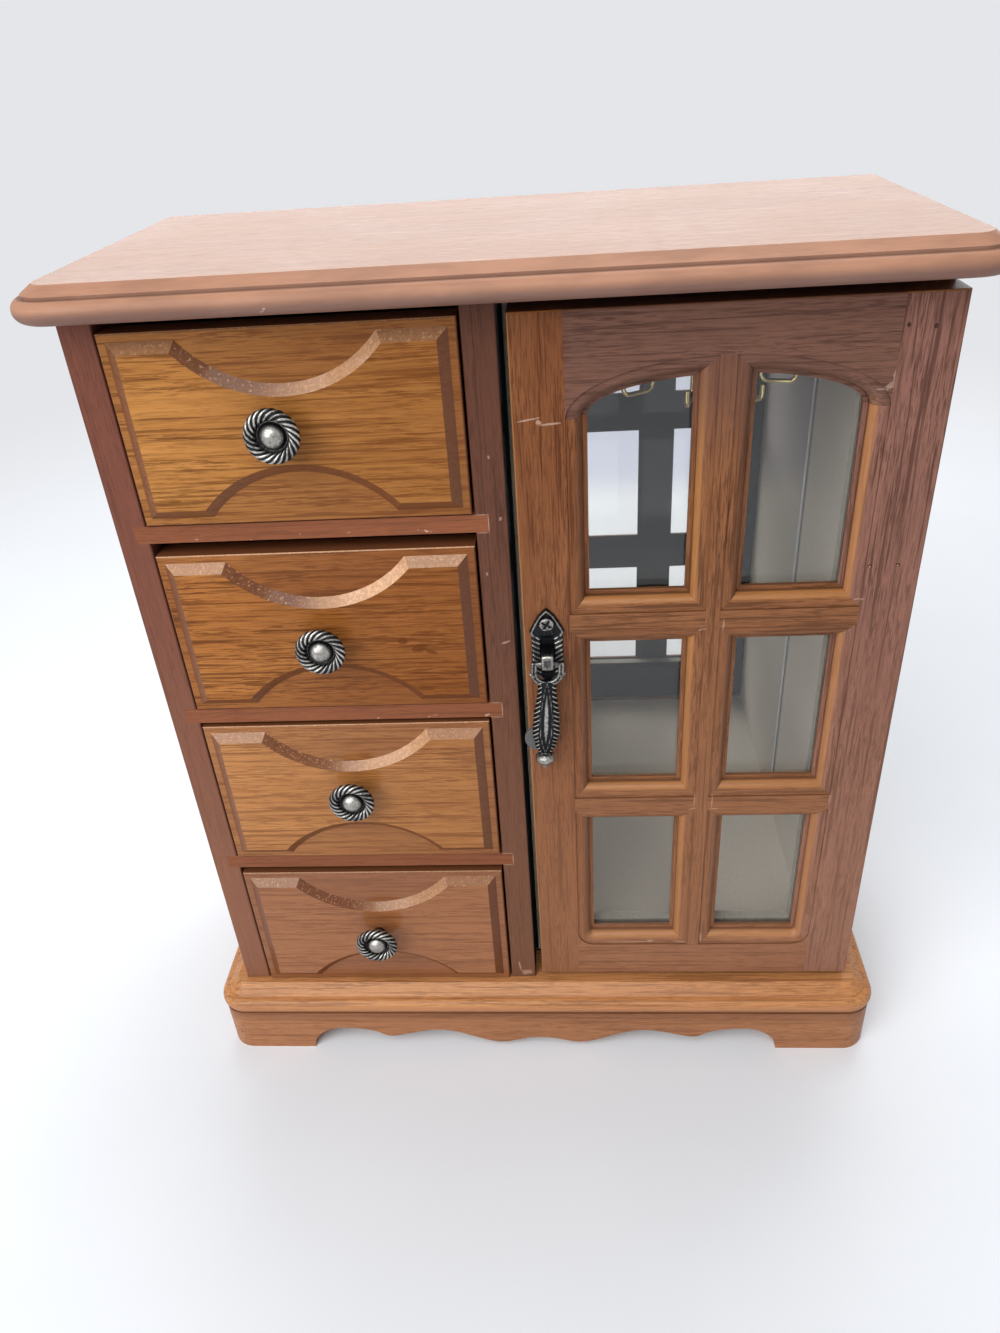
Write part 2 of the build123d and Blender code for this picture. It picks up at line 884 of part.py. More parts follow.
with BuildPart() as pull_screw:
    rod(
        (pull_x, plate_face, post_z + pull_screw_height),
        (0, 1, 0),
        pull_screw_radius,
        plate_thickness + pull_screw_length,
    )
    rod(
        (pull_x, plate_face, post_z + pull_screw_height),
        (0, -1, 0),
        pull_screw_head_radius,
        pull_screw_head_height,
    )
save(pull_screw, "pull_screw")

ring_bottom = post_z - ring_drop - ring_radius
leaf_top = ring_bottom + ring_wire_radius
with BuildPart() as pull_drop:
    rod((pull_x - ring_radius, pin_y, post_z), (1, 0, 0), pull_pin_radius, 2 * ring_radius)
    with BuildLine(face_plane(pin_y)) as ring:
        low = post_z - ring_drop
        Line((pull_x - ring_radius, post_z), (pull_x - ring_radius, low))
        ThreePointArc((pull_x - ring_radius, low), (pull_x, ring_bottom), (pull_x + ring_radius, low))
        Line((pull_x + ring_radius, low), (pull_x + ring_radius, post_z))
    with BuildSketch(Plane((pull_x - ring_radius, pin_y, post_z), z_dir=(0, 0, -1))):
        Circle(ring_wire_radius)
    sweep(path=ring.wire())
    with Locations((pull_x - ring_radius, pin_y, post_z), (pull_x + ring_radius, pin_y, post_z)):
        Sphere(ring_wire_radius)
    for share, half_width, half_depth in leaf_stations:
        station = Plane((pull_x, pin_y, leaf_top - share * leaf_length), z_dir=(0, 0, -1))
        with BuildSketch(station):
            Ellipse(half_width, half_depth)
    loft()
    with Locations((pull_x, pin_y, leaf_top - leaf_length - ball_radius + ball_sink)):
        Sphere(ball_radius)
save(pull_drop, "pull_drop")

with BuildPart() as pull_bumper:
    bumper_x = door_left + bumper_radius - bumper_overhang
    rod((bumper_x, door_front, post_z - bumper_drop), (0, -1, 0), bumper_radius, bumper_thickness)
    fillet(pull_bumper.edges().sort_by(Axis.Y)[:1], bumper_round)
save(pull_bumper, "pull_bumper")


# Necklace carousel

hub_top = sub_top_bottom - running_gap
with BuildPart() as carousel_disc:
    rod((carousel_x, carousel_y, disc_bottom), (0, 0, 1), disc_radius, disc_thickness)
    fillet(carousel_disc.edges().filter_by(GeomType.CIRCLE), disc_round)
    disc_top = disc_bottom + disc_thickness
    rod((carousel_x, carousel_y, disc_top), (0, 0, 1), hub_radius, hub_top - disc_top)
    rod(
        (carousel_x, carousel_y, disc_bottom),
        (0, 0, 1),
        pivot_radius + pivot_clearance,
        hub_top - disc_bottom,
        mode=Mode.SUBTRACT,
    )
    for i in range(hook_count):
        angle = radians(hook_start + i * 360 / hook_count)
        seat = (carousel_x + hook_inner * cos(angle), carousel_y + hook_inner * sin(angle), disc_bottom)
        rod(seat, (0, 0, 1), hook_wire_radius, hook_seat, mode=Mode.SUBTRACT)
save(carousel_disc, "carousel_disc")

with BuildPart() as carousel_hooks:
    for i in range(hook_count):
        angle = radians(hook_start + i * 360 / hook_count)
        outward = (cos(angle), sin(angle), 0)
        across = (sin(angle), -cos(angle), 0)
        hook_plane = Plane((carousel_x, carousel_y, disc_bottom), x_dir=outward, z_dir=across)
        with BuildLine(hook_plane) as hook_line:
            FilletPolyline(
                (hook_inner, hook_seat),
                (hook_inner, -hook_drop),
                (hook_inner + hook_reach, -hook_drop),
                (hook_inner + hook_reach, hook_tip - hook_drop),
                radius=hook_bend,
            )
        with BuildSketch(Plane(hook_line.line @ 0, z_dir=(0, 0, -1))):
            Circle(hook_wire_radius)
        sweep(path=hook_line.wire())
save(carousel_hooks, "carousel_hooks")

with BuildPart() as carousel_pivot:
    rod((carousel_x, carousel_y, pivot_bottom), (0, 0, 1), pivot_head_radius, pivot_head_height)
    rod(
        (carousel_x, carousel_y, pivot_bottom + pivot_head_height),
        (0, 0, 1),
        pivot_radius,
        case_top - pivot_bottom - pivot_head_height,
    )
save(carousel_pivot, "carousel_pivot")


# Drawers, counted from the top

drawer_middle = (bay_left + bay_right) / 2
front_width = bay_right - bay_left - 2 * front_side_gap
lip_y = case_front - front_proud
front_back = lip_y + front_thickness
field_y = lip_y - field_height
box_left = bay_left + wall_side_gap
box_right = bay_right - wall_side_gap
box_back = back_inside - drawer_rear_gap
inner_x = (box_left + wall_thickness, box_right - wall_thickness)
inner_back = box_back - wall_thickness
bite_radius = (bite_width**2 / 4 + bite_depth**2) / (2 * bite_depth)
bevel_angle = degrees(atan(field_bevel / field_height))


def drawer_levels(index):
    """Bottom and top of a drawer front."""
    bottom = opening_bottoms[index]
    return bottom + front_bottom_gap, bottom + opening_height - front_top_gaps[index]


def bottom_panel(index, mode=Mode.ADD):
    """Bottom of a drawer, with its edges in grooves all round."""
    low = opening_bottoms[index] + running_gap + drawer_bottom_lift
    slab(
        (inner_x[0] - groove_depth, inner_x[1] + groove_depth),
        (front_back - groove_depth, inner_back + groove_depth),
        (low, low + drawer_bottom_thickness),
        mode=mode,
    )


def knob_profile():
    """Half section of a knob: collar, neck, flared back, round rim, groove and domed middle."""
    rim_middle = knob_radius - knob_rim_radius
    rim_level = knob_length - knob_dome_rise
    with BuildLine() as outline:
        Polyline(
            (0, 0),
            (knob_collar_radius, 0),
            (knob_collar_radius, knob_collar_height),
            (knob_neck_radius, 2 * knob_collar_height),
            (knob_neck_radius, rim_level - 2 * knob_rim_radius),
            (rim_middle, rim_level - knob_rim_radius),
        )
        ThreePointArc(
            (rim_middle, rim_level - knob_rim_radius),
            (knob_radius, rim_level),
            (rim_middle, rim_level + knob_rim_radius),
        )
        Line((rim_middle, rim_level + knob_rim_radius), (knob_dome_radius, rim_level))
        TangentArc((0, knob_length), (knob_dome_radius, rim_level), tangent=(1, 0))
        Line((0, knob_length), (0, 0))
    make_face(outline.edges())


for index in range(drawer_count):
    name = f"drawer_{index + 1}"
    low, high = drawer_levels(index)
    middle_z = (low + high) / 2
    knob_x = drawer_middle + knob_shifts[index][0]
    knob_z = middle_z + knob_shifts[index][1]
    wall_low = opening_bottoms[index] + running_gap
    wall_z = (wall_low, wall_low + wall_height)

    with BuildPart() as drawer_front:
        half_front = front_width / 2
        slab((drawer_middle - half_front, drawer_middle + half_front), (lip_y, front_back), (low, high))
        fillet(drawer_front.faces().sort_by(Axis.Y)[0].edges(), arris)
        with BuildSketch(face_plane(lip_y)):
            field_top = (high - low) / 2 - field_lip
            with Locations((drawer_middle, middle_z)):
                Rectangle(front_width - 2 * field_lip, 2 * field_top)
            bite_offset = field_top + bite_radius - bite_depth
            bite_levels = (middle_z + bite_offset, middle_z - bite_offset)
            with Locations(*[(drawer_middle, level) for level in bite_levels]):
                Circle(bite_radius, mode=Mode.SUBTRACT)
        extrude(amount=field_height, taper=bevel_angle)
        bottom_panel(index, mode=Mode.SUBTRACT)
        rod(
            (knob_x, field_y, knob_z),
            (0, 1, 0),
            knob_screw_radius + thread_clearance,
            front_thickness + field_height,
            mode=Mode.SUBTRACT,
        )
    save(drawer_front, f"{name}_front")

    with BuildPart() as drawer_walls:
        slab((box_left, inner_x[0]), (front_back, box_back), wall_z)
        slab((inner_x[1], box_right), (front_back, box_back), wall_z)
        slab((inner_x[0] + glue_line, inner_x[1] - glue_line), (inner_back, box_back), wall_z)
        bottom_panel(index, mode=Mode.SUBTRACT)
    save(drawer_walls, f"{name}_walls")

    with BuildPart() as drawer_bottom:
        bottom_panel(index)
    save(drawer_bottom, f"{name}_bottom")

    with BuildPart() as drawer_liner:
        liner_low = wall_low + drawer_bottom_lift + drawer_bottom_thickness
        slab(
            (inner_x[0] + liner_gap, inner_x[1] - liner_gap),
            (front_back + liner_gap, inner_back - liner_gap),
            (liner_low, liner_low + liner_thickness),
        )
    save(drawer_liner, f"{name}_liner")

    with BuildPart() as knob:
        seat = (knob_x, field_y, knob_z)
        with BuildSketch(Plane(seat, x_dir=(1, 0, 0), z_dir=(0, 0, -1))):
            knob_profile()
        revolve(axis=Axis(seat, (0, -1, 0)))
        rod(
            seat,
            (0, -1, 0),
            knob_screw_radius + thread_clearance,
            knob_screw_bite + thread_clearance,
            mode=Mode.SUBTRACT,
        )
    save(knob, f"{name}_knob")

    with BuildPart() as knob_screw:
        head_seat = (knob_x, front_back, knob_z)
        rod(head_seat, (0, 1, 0), knob_screw_head_radius, knob_screw_head_height)
        rod(head_seat, (0, -1, 0), knob_screw_radius, front_thickness + field_height + knob_screw_bite)
    save(knob_screw, f"{name}_knob_screw")
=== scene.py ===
import math

import bmesh
import bpy
from mathutils import Matrix, Vector


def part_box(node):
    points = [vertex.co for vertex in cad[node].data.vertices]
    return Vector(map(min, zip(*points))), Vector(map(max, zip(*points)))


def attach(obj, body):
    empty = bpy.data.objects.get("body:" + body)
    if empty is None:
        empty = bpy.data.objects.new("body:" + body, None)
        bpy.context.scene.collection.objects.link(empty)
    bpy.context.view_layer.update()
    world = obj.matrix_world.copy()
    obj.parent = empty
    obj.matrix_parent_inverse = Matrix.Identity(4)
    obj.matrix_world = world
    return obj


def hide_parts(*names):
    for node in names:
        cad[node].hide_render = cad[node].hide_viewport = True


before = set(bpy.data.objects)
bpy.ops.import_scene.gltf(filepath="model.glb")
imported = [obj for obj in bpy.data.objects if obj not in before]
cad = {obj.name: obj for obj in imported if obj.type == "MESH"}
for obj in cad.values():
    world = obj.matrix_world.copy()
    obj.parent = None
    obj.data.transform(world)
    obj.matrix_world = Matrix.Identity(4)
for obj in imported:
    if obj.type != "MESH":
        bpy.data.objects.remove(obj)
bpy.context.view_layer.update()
MM = 0.001
TURN = 2 * math.pi
DRAWERS = (1, 2, 3, 4)


# Shader maths


class Shade:
    """A socket of a finish. Arithmetic on it adds Math nodes, and node() adds any other node."""

    def __init__(self, socket):
        self.socket = socket

    def node(self, kind, settings=None, inputs=None, output=0):
        tree = self.socket.id_data
        made = tree.nodes.new("ShaderNode" + kind)
        for key, value in (settings or {}).items():
            setattr(made, key, value)
        for key, value in (inputs or {}).items():
            if isinstance(value, Shade):
                tree.links.new(value.socket, made.inputs[key])
            else:
                made.inputs[key].default_value = value
        return Shade(made.outputs[output])

    def math(self, operation, first, second=0.0):
        return self.node("Math", {"operation": operation}, {0: first, 1: second})

    def __add__(self, other):
        return self.math("ADD", self, other)

    __radd__ = __add__

    def __sub__(self, other):
        return self.math("SUBTRACT", self, other)

    def __rsub__(self, other):
        return self.math("SUBTRACT", other, self)

    def __mul__(self, other):
        return self.math("MULTIPLY", self, other)

    __rmul__ = __mul__

    def __abs__(self):
        return self.math("ABSOLUTE", self)

    def most(self, other):
        return self.math("MAXIMUM", self, other)

    def ramp(self, low, high):
        """0 below low, 1 above high, eased between them; low may be the larger one."""
        values = {"Value": self, "From Min": low, "From Max": high}
        return self.node("MapRange", {"interpolation_type": "SMOOTHSTEP"}, values)

    def stretch(self, scale):
        return self.node("VectorMath", {"operation": "MULTIPLY"}, {0: self, 1: scale})

    def noise(self, scale, detail=2.0, rough=0.5, warp=0.0):
        values = {"Vector": self.stretch(scale), "Scale": 1.0, "Detail": detail}
        values.update({"Roughness": rough, "Distortion": warp})
        return self.node("TexNoise", None, values)

    def axes(self):
        return [self.node("SeparateXYZ", None, {0: self}, output=i) for i in range(3)]

    def blend(self, first, second):
        """Colour between two others, with this value as the share of the second."""
        return self.node("Mix", {"data_type": "RGBA"}, {0: self, 6: first, 7: second}, output=2)


class Finish:
    """A material with one main shader, and the places and normals that its pattern reads."""

    def __init__(self, name, **constants):
        self.material = bpy.data.materials.new(name)
        self.material.use_nodes = True
        self.tree = self.material.node_tree
        self.shader = self.tree.nodes["Principled BSDF"]
        coordinates = self.tree.nodes.new("ShaderNodeTexCoord")
        self.place = Shade(coordinates.outputs["Object"])
        self.normal = Shade(coordinates.outputs["Normal"])
        for key, value in constants.items():
            self.shader.inputs[key.replace("_", " ")].default_value = value

    def feed(self, socket, value):
        if isinstance(value, Shade):
            self.tree.links.new(value.socket, self.shader.inputs[socket])
        else:
            self.shader.inputs[socket].default_value = value

    def bump(self, height, depth, strength=1.0):
        bumped = self.place.node("Bump", None, {"Strength": strength, "Distance": depth, "Height": height})
        self.feed("Normal", bumped)

    def marks(self, spots, ragged=0.5):
        """Share of small marks, each (x, z) of its middle, half sizes, and lean, in mm and degrees."""
        fray = (self.place.noise((1600, 1600, 1600), 3.0, 0.7) - 0.5) * (2 * ragged)
        share = None
        for x, z, half_x, half_z, lean in spots:
            middle = (x * MM, 0.0, z * MM)
            turned = self.place.node("VectorMath", {"operation": "SUBTRACT"}, {0: self.place, 1: middle})
            if lean:
                turn = {"Vector": turned, "Angle": math.radians(lean)}
                turned = self.place.node("VectorRotate", {"rotation_type": "Y_AXIS"}, turn)
            scaled = turned.stretch((1000 / half_x, 0.0, 1000 / half_z))
            reach = scaled.node("VectorMath", {"operation": "LENGTH"}, {0: scaled}, output=1)
            mark = (reach + fray).ramp(1.15, 0.6)
            share = mark if share is None else share.most(mark)
        return share


def rgb(red, green, blue):
    return (red, green, blue, 1.0)


# Camera at the photograph's viewing angle, found from the case's straight edges


CAMERA_SPOT = (16.77, -313.17, 350.55)
CAMERA_TURN = (-5.028, 32.503, 4.150)
FOCAL_PIXELS, LONG_SIDE_PIXELS, FILM_HEIGHT = 983.0, 1333.0, 36.0


def place_camera():
    """Camera from its spot in mm, and its yaw, downward pitch and roll in degrees."""
    yaw, pitch, roll = (math.radians(angle) for angle in CAMERA_TURN)
    forward = Vector((math.sin(yaw) * math.cos(pitch), math.cos(yaw) * math.cos(pitch), -math.sin(pitch)))
    level = Vector((math.cos(yaw), -math.sin(yaw), 0.0))
    down = forward.cross(level)
    right = math.cos(roll) * level + math.sin(roll) * down
    low = -math.sin(roll) * level + math.cos(roll) * down
    data = bpy.data.cameras.new("camera")
    data.sensor_fit = "VERTICAL"
    data.sensor_height = FILM_HEIGHT
    data.lens = FOCAL_PIXELS / LONG_SIDE_PIXELS * FILM_HEIGHT
    data.clip_start = 0.01
    camera = bpy.data.objects.new("camera", data)
    bpy.context.scene.collection.objects.link(camera)
    turn = Matrix((right, -low, -forward)).transposed().to_4x4()
    camera.matrix_world = Matrix.Translation(Vector(CAMERA_SPOT) * MM) @ turn
    bpy.context.scene.camera = camera


place_camera()


# Room: a pale floor that runs out into a pale surround, and soft lamps

FLOOR_SIZE = 60.0
ROOM_COLOUR = rgb(0.78, 0.79, 0.82)
ROOM_LIGHT = 0.32
COOL, COOLER = (0.98, 0.99, 1.0), (0.97, 0.99, 1.0)
LAMPS = (
    # name, spot, target, size in metres, radiance, tint
    ("window", (-0.86, -1.08, 0.80), (0.0, 0.0, 0.15), (1.25, 0.66), 4.2, COOL),
    ("front sky", (-0.32, -0.92, 1.40), (0.0, 0.0, 0.15), (1.4, 0.9), 3.4, COOLER),
    ("top light", (0.1, 0.55, 1.65), (0.0, 0.0, 0.1), (1.0, 1.0), 3.6, COOLER),
    ("back light", (0.1, 1.4, 0.62), (0.0, 0.0, 0.3), (2.2, 0.6), 2.6, (1.0, 1.0, 1.0)),
)


def place_lamp(name, spot, target, size, radiance, tint):
    data = bpy.data.lights.new(name, "AREA")
    data.shape = "RECTANGLE"
    data.size, data.size_y = size
    data.energy = radiance * math.pi * size[0] * size[1]
    data.color = tint
    lamp = bpy.data.objects.new(name, data)
    bpy.context.scene.collection.objects.link(lamp)
    lamp.location = spot
    lamp.rotation_euler = (Vector(target) - Vector(spot)).to_track_quat("-Z", "Y").to_euler()


def seen_rays(shade):
    """1 where the camera, a gloss or a glass looks, 0 for light on its way to a surface."""
    seen = [shade.node("LightPath", None, None, output=i) for i in (0, 3, 6)]
    return seen[0].most(seen[1]).most(seen[2])


def make_room():
    mesh = bpy.data.meshes.new("floor")
    half = FLOOR_SIZE / 2
    corners = [(-half, -half, 0), (half, -half, 0), (half, half, 0), (-half, half, 0)]
    mesh.from_pydata(corners, [], [(0, 1, 2, 3)])
    floor = bpy.data.objects.new("floor", mesh)
    bpy.context.scene.collection.objects.link(floor)
    cloth = Finish("floor cloth", Roughness=0.9, Specular_IOR_Level=0.1)
    shading = cloth.place.noise((9, 9, 9), 3.0).ramp(0.3, 0.7)
    cloth.feed("Base Color", shading.blend(rgb(0.84, 0.86, 0.89), rgb(0.86, 0.88, 0.91)))
    away = cloth.place.node("VectorMath", {"operation": "LENGTH"}, {0: cloth.place}, output=1)
    far = cloth.place.node("Emission", None, {"Color": ROOM_COLOUR, "Strength": 1.0})
    surface = {0: away.ramp(0.35, 1.1) * seen_rays(cloth.place), 1: Shade(cloth.shader.outputs[0]), 2: far}
    joined = cloth.place.node("MixShader", None, surface)
    cloth.tree.links.new(joined.socket, cloth.tree.nodes["Material Output"].inputs["Surface"])
    mesh.materials.append(cloth.material)

    world = bpy.data.worlds.new("pale room")
    world.use_nodes = True
    bpy.context.scene.world = world
    back = world.node_tree.nodes["Background"]
    back.inputs["Color"].default_value = ROOM_COLOUR
    strength = seen_rays(Shade(back.outputs[0])) * (1.0 - ROOM_LIGHT) + ROOM_LIGHT
    world.node_tree.links.new(strength.socket, back.inputs["Strength"])
    for lamp in LAMPS:
        place_lamp(*lamp)


make_room()
bpy.context.scene.view_settings.view_transform = "Standard"


# Woods

ALONG = {"X": (1, 0, 0), "Y": (0, 1, 0), "Z": (0, 0, 1)}


def along(grain, length_scale, width_scale):
    """Scale of a pattern drawn out along the grain."""
    return tuple(length_scale if axis else width_scale for axis in ALONG[grain])


def grain_colour(finish, grain, tones, pore_strength):
    """Broad bands, streaks, thin dark lines and fine pores along the grain; also gives the pores."""
    pale, mid, dark = tones
    place = finish.place
    bands = place.noise(along(grain, 5, 45), 2.0, warp=0.6).ramp(0.3, 0.7)
    streaks = place.noise(along(grain, 14, 320), 3.0, 0.6).ramp(0.34, 0.68)
    fibres = place.noise(along(grain, 60, 1500), 3.0, 0.7).ramp(0.40, 0.66)
    lines = place.noise(along(grain, 20, 800), 3.0, 0.65).ramp(0.52, 0.62)
    groups = place.noise(along(grain, 25, 170), 2.0).ramp(0.36, 0.64)
    pores = place.noise(along(grain, 160, 2200), 2.0, 0.55).ramp(0.49, 0.60)
    colour = (bands * 0.5 + streaks * 0.35).blend(pale, mid)
    colour = (fibres * 0.35 * pore_strength).blend(colour, dark)
    colour = (lines * 0.85 * pore_strength).blend(colour, dark)
    colour = (pores * (groups * 0.55 + 0.25) * pore_strength).blend(colour, dark)
    return colour, pores


def wood(name, grain, tones, pore_strength=0.5, gloss=0.45, coat=0.12, changes=(), polish=0.22):
    finish = Finish(name, Specular_IOR_Level=0.08, Coat_IOR=1.8, Coat_Roughness=polish, Coat_Weight=coat)
    colour, pores = grain_colour(finish, grain, tones, pore_strength)
    rough = gloss + pores * 0.12
    for change in changes:
        colour, rough = change(finish, colour, rough)
    finish.feed("Base Color", colour)
    finish.feed("Roughness", rough)
    finish.bump(1.0 - pores, 0.05 * MM, 0.5)
    return finish.material


def coat_nodes(material, *names):
    for name in names:
        slots = cad[name].data.materials
        slots.clear()
        slots.append(material)


case_tones = rgb(0.20, 0.066, 0.040), rgb(0.155, 0.050, 0.030), rgb(0.06, 0.018, 0.011)
rail_tones = rgb(0.28, 0.090, 0.036), rgb(0.215, 0.067, 0.026), rgb(0.085, 0.024, 0.010)
# The divider's tones are darker than the case sides', which is painted shade from the top's overhang.
divider_shaded_tones = rgb(0.135, 0.050, 0.027), rgb(0.100, 0.035, 0.019), rgb(0.040, 0.013, 0.008)
lock_tones = rgb(0.275, 0.102, 0.038), rgb(0.193, 0.064, 0.021), rgb(0.09, 0.024, 0.006)
# The hinge stile's tones are greyer and bluer than the lock stile's, which is painted sheen.
hinge_tones_with_sheen = rgb(0.29, 0.134, 0.098), rgb(0.205, 0.090, 0.064), rgb(0.09, 0.036, 0.025)
# The arched top rail's tones are darker than the other door members, partly its own tone and partly painted
# shade of the top's overhang.
arch_tones_with_shade = rgb(0.21, 0.098, 0.066), rgb(0.15, 0.069, 0.047), rgb(0.06, 0.026, 0.018)
foot_rail_tones = rgb(0.34, 0.145, 0.070), rgb(0.235, 0.092, 0.045), rgb(0.105, 0.034, 0.013)
bar_tones = rgb(0.30, 0.120, 0.048), rgb(0.21, 0.078, 0.029), rgb(0.08, 0.026, 0.009)
base_tones = rgb(0.63, 0.285, 0.105), rgb(0.50, 0.210, 0.074), rgb(0.20, 0.072, 0.024)
apron_tones = rgb(0.47, 0.202, 0.088), rgb(0.365, 0.150, 0.064), rgb(0.15, 0.052, 0.021)
top_tones = rgb(0.34, 0.155, 0.08), rgb(0.27, 0.115, 0.055), rgb(0.13, 0.050, 0.025)
inner_tones = rgb(0.30, 0.17, 0.09), rgb(0.22, 0.12, 0.06), rgb(0.09, 0.045, 0.025)
# The glazing strips' pale grey is partly painted light: it is raised to make up for the shade they lie in
# behind the glass.
strip_tones_with_light = rgb(0.42, 0.385, 0.33), rgb(0.35, 0.320, 0.27), rgb(0.19, 0.170, 0.145)
front_tones = {
    1: (rgb(0.56, 0.248, 0.066), rgb(0.39, 0.152, 0.032), rgb(0.11, 0.032, 0.005)),
    2: (rgb(0.50, 0.195, 0.050), rgb(0.315, 0.098, 0.015), rgb(0.08, 0.020, 0.002)),
    3: (rgb(0.54, 0.235, 0.073), rgb(0.41, 0.157, 0.040), rgb(0.16, 0.047, 0.010)),
    4: (rgb(0.37, 0.145, 0.058), rgb(0.30, 0.107, 0.037), rgb(0.14, 0.042, 0.010)),
}
front_pores = {1: 0.75, 2: 0.85, 3: 0.65, 4: 0.5}
front_shine = {1: 0.05, 2: 0.06, 3: 0.22, 4: 0.35}
# Strength of the painted highlight on each front's upward bevels.
front_painted_highlight = {1: 0.5, 2: 0.75, 3: 0.6, 4: 0.4}
# Share of painted shade towards each front's right end.
front_right_shade = {1: 0.45, 2: 0.55, 3: 0.3}
FIELD_FRONT, LIP_FRONT = -49.6 * MM, -48.5 * MM
# Black for the door's painted back, and also black painted shade in gaps.
BLACK_PAINT_AND_SHADE = rgb(0.012, 0.012, 0.013)
BARE_WOOD = rgb(0.62, 0.42, 0.31)


def routed_face(shine, highlight_share):
    """Change for a drawer front: dark lip, bevels darker and glossier than the flats, a painted highlight on
    the bevels that face up and to the left, painted glints on those that face up, and darkened edges that are
    partly stain and partly painted shade.
    """

    def change(finish, colour, rough):
        across, outward, up = finish.normal.axes()
        routed = (outward + 1.0).ramp(0.03, 0.12)
        # The front's edges are darkened, partly as stain and partly as painted shade of the gaps round the
        # front.
        edge = outward.ramp(-0.4, -0.2)
        grit = finish.place.noise((900, 900, 900), 3.0, 0.7).ramp(0.4, 0.7)
        # Painted glints: pale specks on the bevels that face up.
        glint_specks = finish.place.noise((1300, 1300, 1300), 2.0, 0.6).ramp(0.60, 0.66)
        # Painted highlight: the bevels that face up and to the left turn pale peach.
        pale = (up * 0.85 - across * 0.5).ramp(0.40, 0.60)
        sunk = finish.place.axes()[1].ramp(FIELD_FRONT, LIP_FRONT)
        colour = (sunk * 0.35).blend(colour, rgb(0.17, 0.056, 0.022))
        colour = (routed * 0.78).blend(colour, rgb(0.135, 0.043, 0.017))
        colour = (routed * pale * (grit * 0.35 + 0.65) * highlight_share).blend(colour, rgb(0.95, 0.55, 0.29))
        colour = (routed * glint_specks * up.ramp(0.1, 0.4) * 0.4).blend(colour, rgb(0.75, 0.42, 0.25))
        finish.feed("Coat Weight", routed * (0.2 - shine) + shine)
        return edge.blend(colour, rgb(0.15, 0.052, 0.021)), rough - routed * 0.1

    return change


def shade_to_right(most):
    """Change for a front that is darker towards its right end: painted shade, for light that falls from the
    left.
    """

    def change(finish, colour, rough):
        deep = finish.place.axes()[0].ramp(-110 * MM, -20 * MM)
        return (deep * most).blend(colour, rgb(0.15, 0.036, 0.003)), rough

    return change


def moulding_painted_light(most):
    """Change for the sticking around the panes: painted light, golden on the rounds that face up and to the
    left and dark on those that face down and to the right, with painted shadow lines in its quirks.
    """

    def change(finish, colour, rough):
        across, outward, up = finish.normal.axes()
        sloped = (outward + 1.0).ramp(0.02, 0.2)
        steep_shade = outward.ramp(-0.4, -0.15)
        finish.feed("Coat Weight", sloped * 0.12 + 0.06)
        # Painted highlight where the rounds face up and left, painted shade where they face down and right.
        lean = up * 0.7 - across * 0.7
        colour = (sloped * lean.ramp(-0.05, 0.35) * most).blend(colour, rgb(0.52, 0.22, 0.06))
        colour = (sloped * lean.ramp(0.0, -0.4) * 0.5).blend(colour, rgb(0.11, 0.040, 0.018))
        # Painted shadow in the quirks and on the steep faces.
        return (steep_shade * 0.8).blend(colour, rgb(0.05, 0.018, 0.008)), rough

    return change


def painted_light_low(most):
    """Change that fades a piece to a paler tone towards the foot of the case: painted light, as the lower
    part of the front is lit more brightly.
    """

    def change(finish, colour, rough):
        low = finish.place.axes()[2].ramp(0.27, 0.03)
        return (low * most).blend(colour, rgb(0.42, 0.200, 0.108)), rough

    return change


def painted_shade_top(finish, colour, rough):
    """Painted shade: the head of the mullion darkens to the arched rail's tone, for the shade under the top's
    overhang.
    """
    high = finish.place.axes()[2].ramp(0.235, 0.275)
    return (high * 0.75).blend(colour, arch_tones_with_shade[1]), rough


def black_back(finish, colour, rough):
    """The inner face of the door is painted black."""
    across, outward, up = finish.normal.axes()
    back = outward.ramp(0.6, 0.8)
    return back.blend(colour, BLACK_PAINT_AND_SHADE), rough + back * 0.2


def divider_gap_shade(finish, colour, rough):
    """Painted shade: the cupboard's side of the divider is made black, for the shadow in the gap beside the
    door.
    """
    inside = finish.normal.axes()[0].ramp(0.75, 0.9)
    return inside.blend(colour, BLACK_PAINT_AND_SHADE), rough + inside * 0.4


def nose_with_painted_shade(finish, colour, rough):
    """The top's moulded edge: a darker tone than the face, with warm painted light where it faces up and deep
    grey painted shade where it faces down; duller than the face, with a painted shadow in its quirk.
    """
    up, height = finish.normal.axes()[2], finish.place.axes()[2]
    below = height.ramp(304.2 * MM, 303.6 * MM)
    nose = up.ramp(0.97, 0.85).most(below)
    # Painted shadow in the quirk under the face.
    quirk_shadow = below * up.ramp(0.90, 0.97)
    blotch = finish.place.noise((40, 160, 160), 3.0, 0.6).ramp(0.35, 0.7)
    # Painted light and shade: warm on the upward faces, deep grey on the downward ones.
    tone = up.ramp(0.45, -0.35).blend(rgb(0.48, 0.245, 0.155), rgb(0.21, 0.120, 0.100))
    colour = (nose * 0.8).blend(colour, tone)
    colour = (nose * blotch * 0.3).blend(colour, rgb(0.14, 0.065, 0.045))
    finish.feed("Coat Weight", 0.22 - nose * 0.14)
    return (quirk_shadow * 0.7).blend(colour, rgb(0.10, 0.045, 0.030)), rough


def bead_painted_light(finish, colour, rough):
    """Painted light on the base's rounded edge: a rosy painted highlight where it faces forward, rosier than
    its ledge, and painted shade underneath.
    """
    up = finish.normal.axes()[2]
    colour = (up.ramp(0.65, 0.4) * 0.55).blend(colour, rgb(0.48, 0.215, 0.105))
    return (up.ramp(0.05, -0.45) * 0.6).blend(colour, rgb(0.14, 0.050, 0.022)), rough


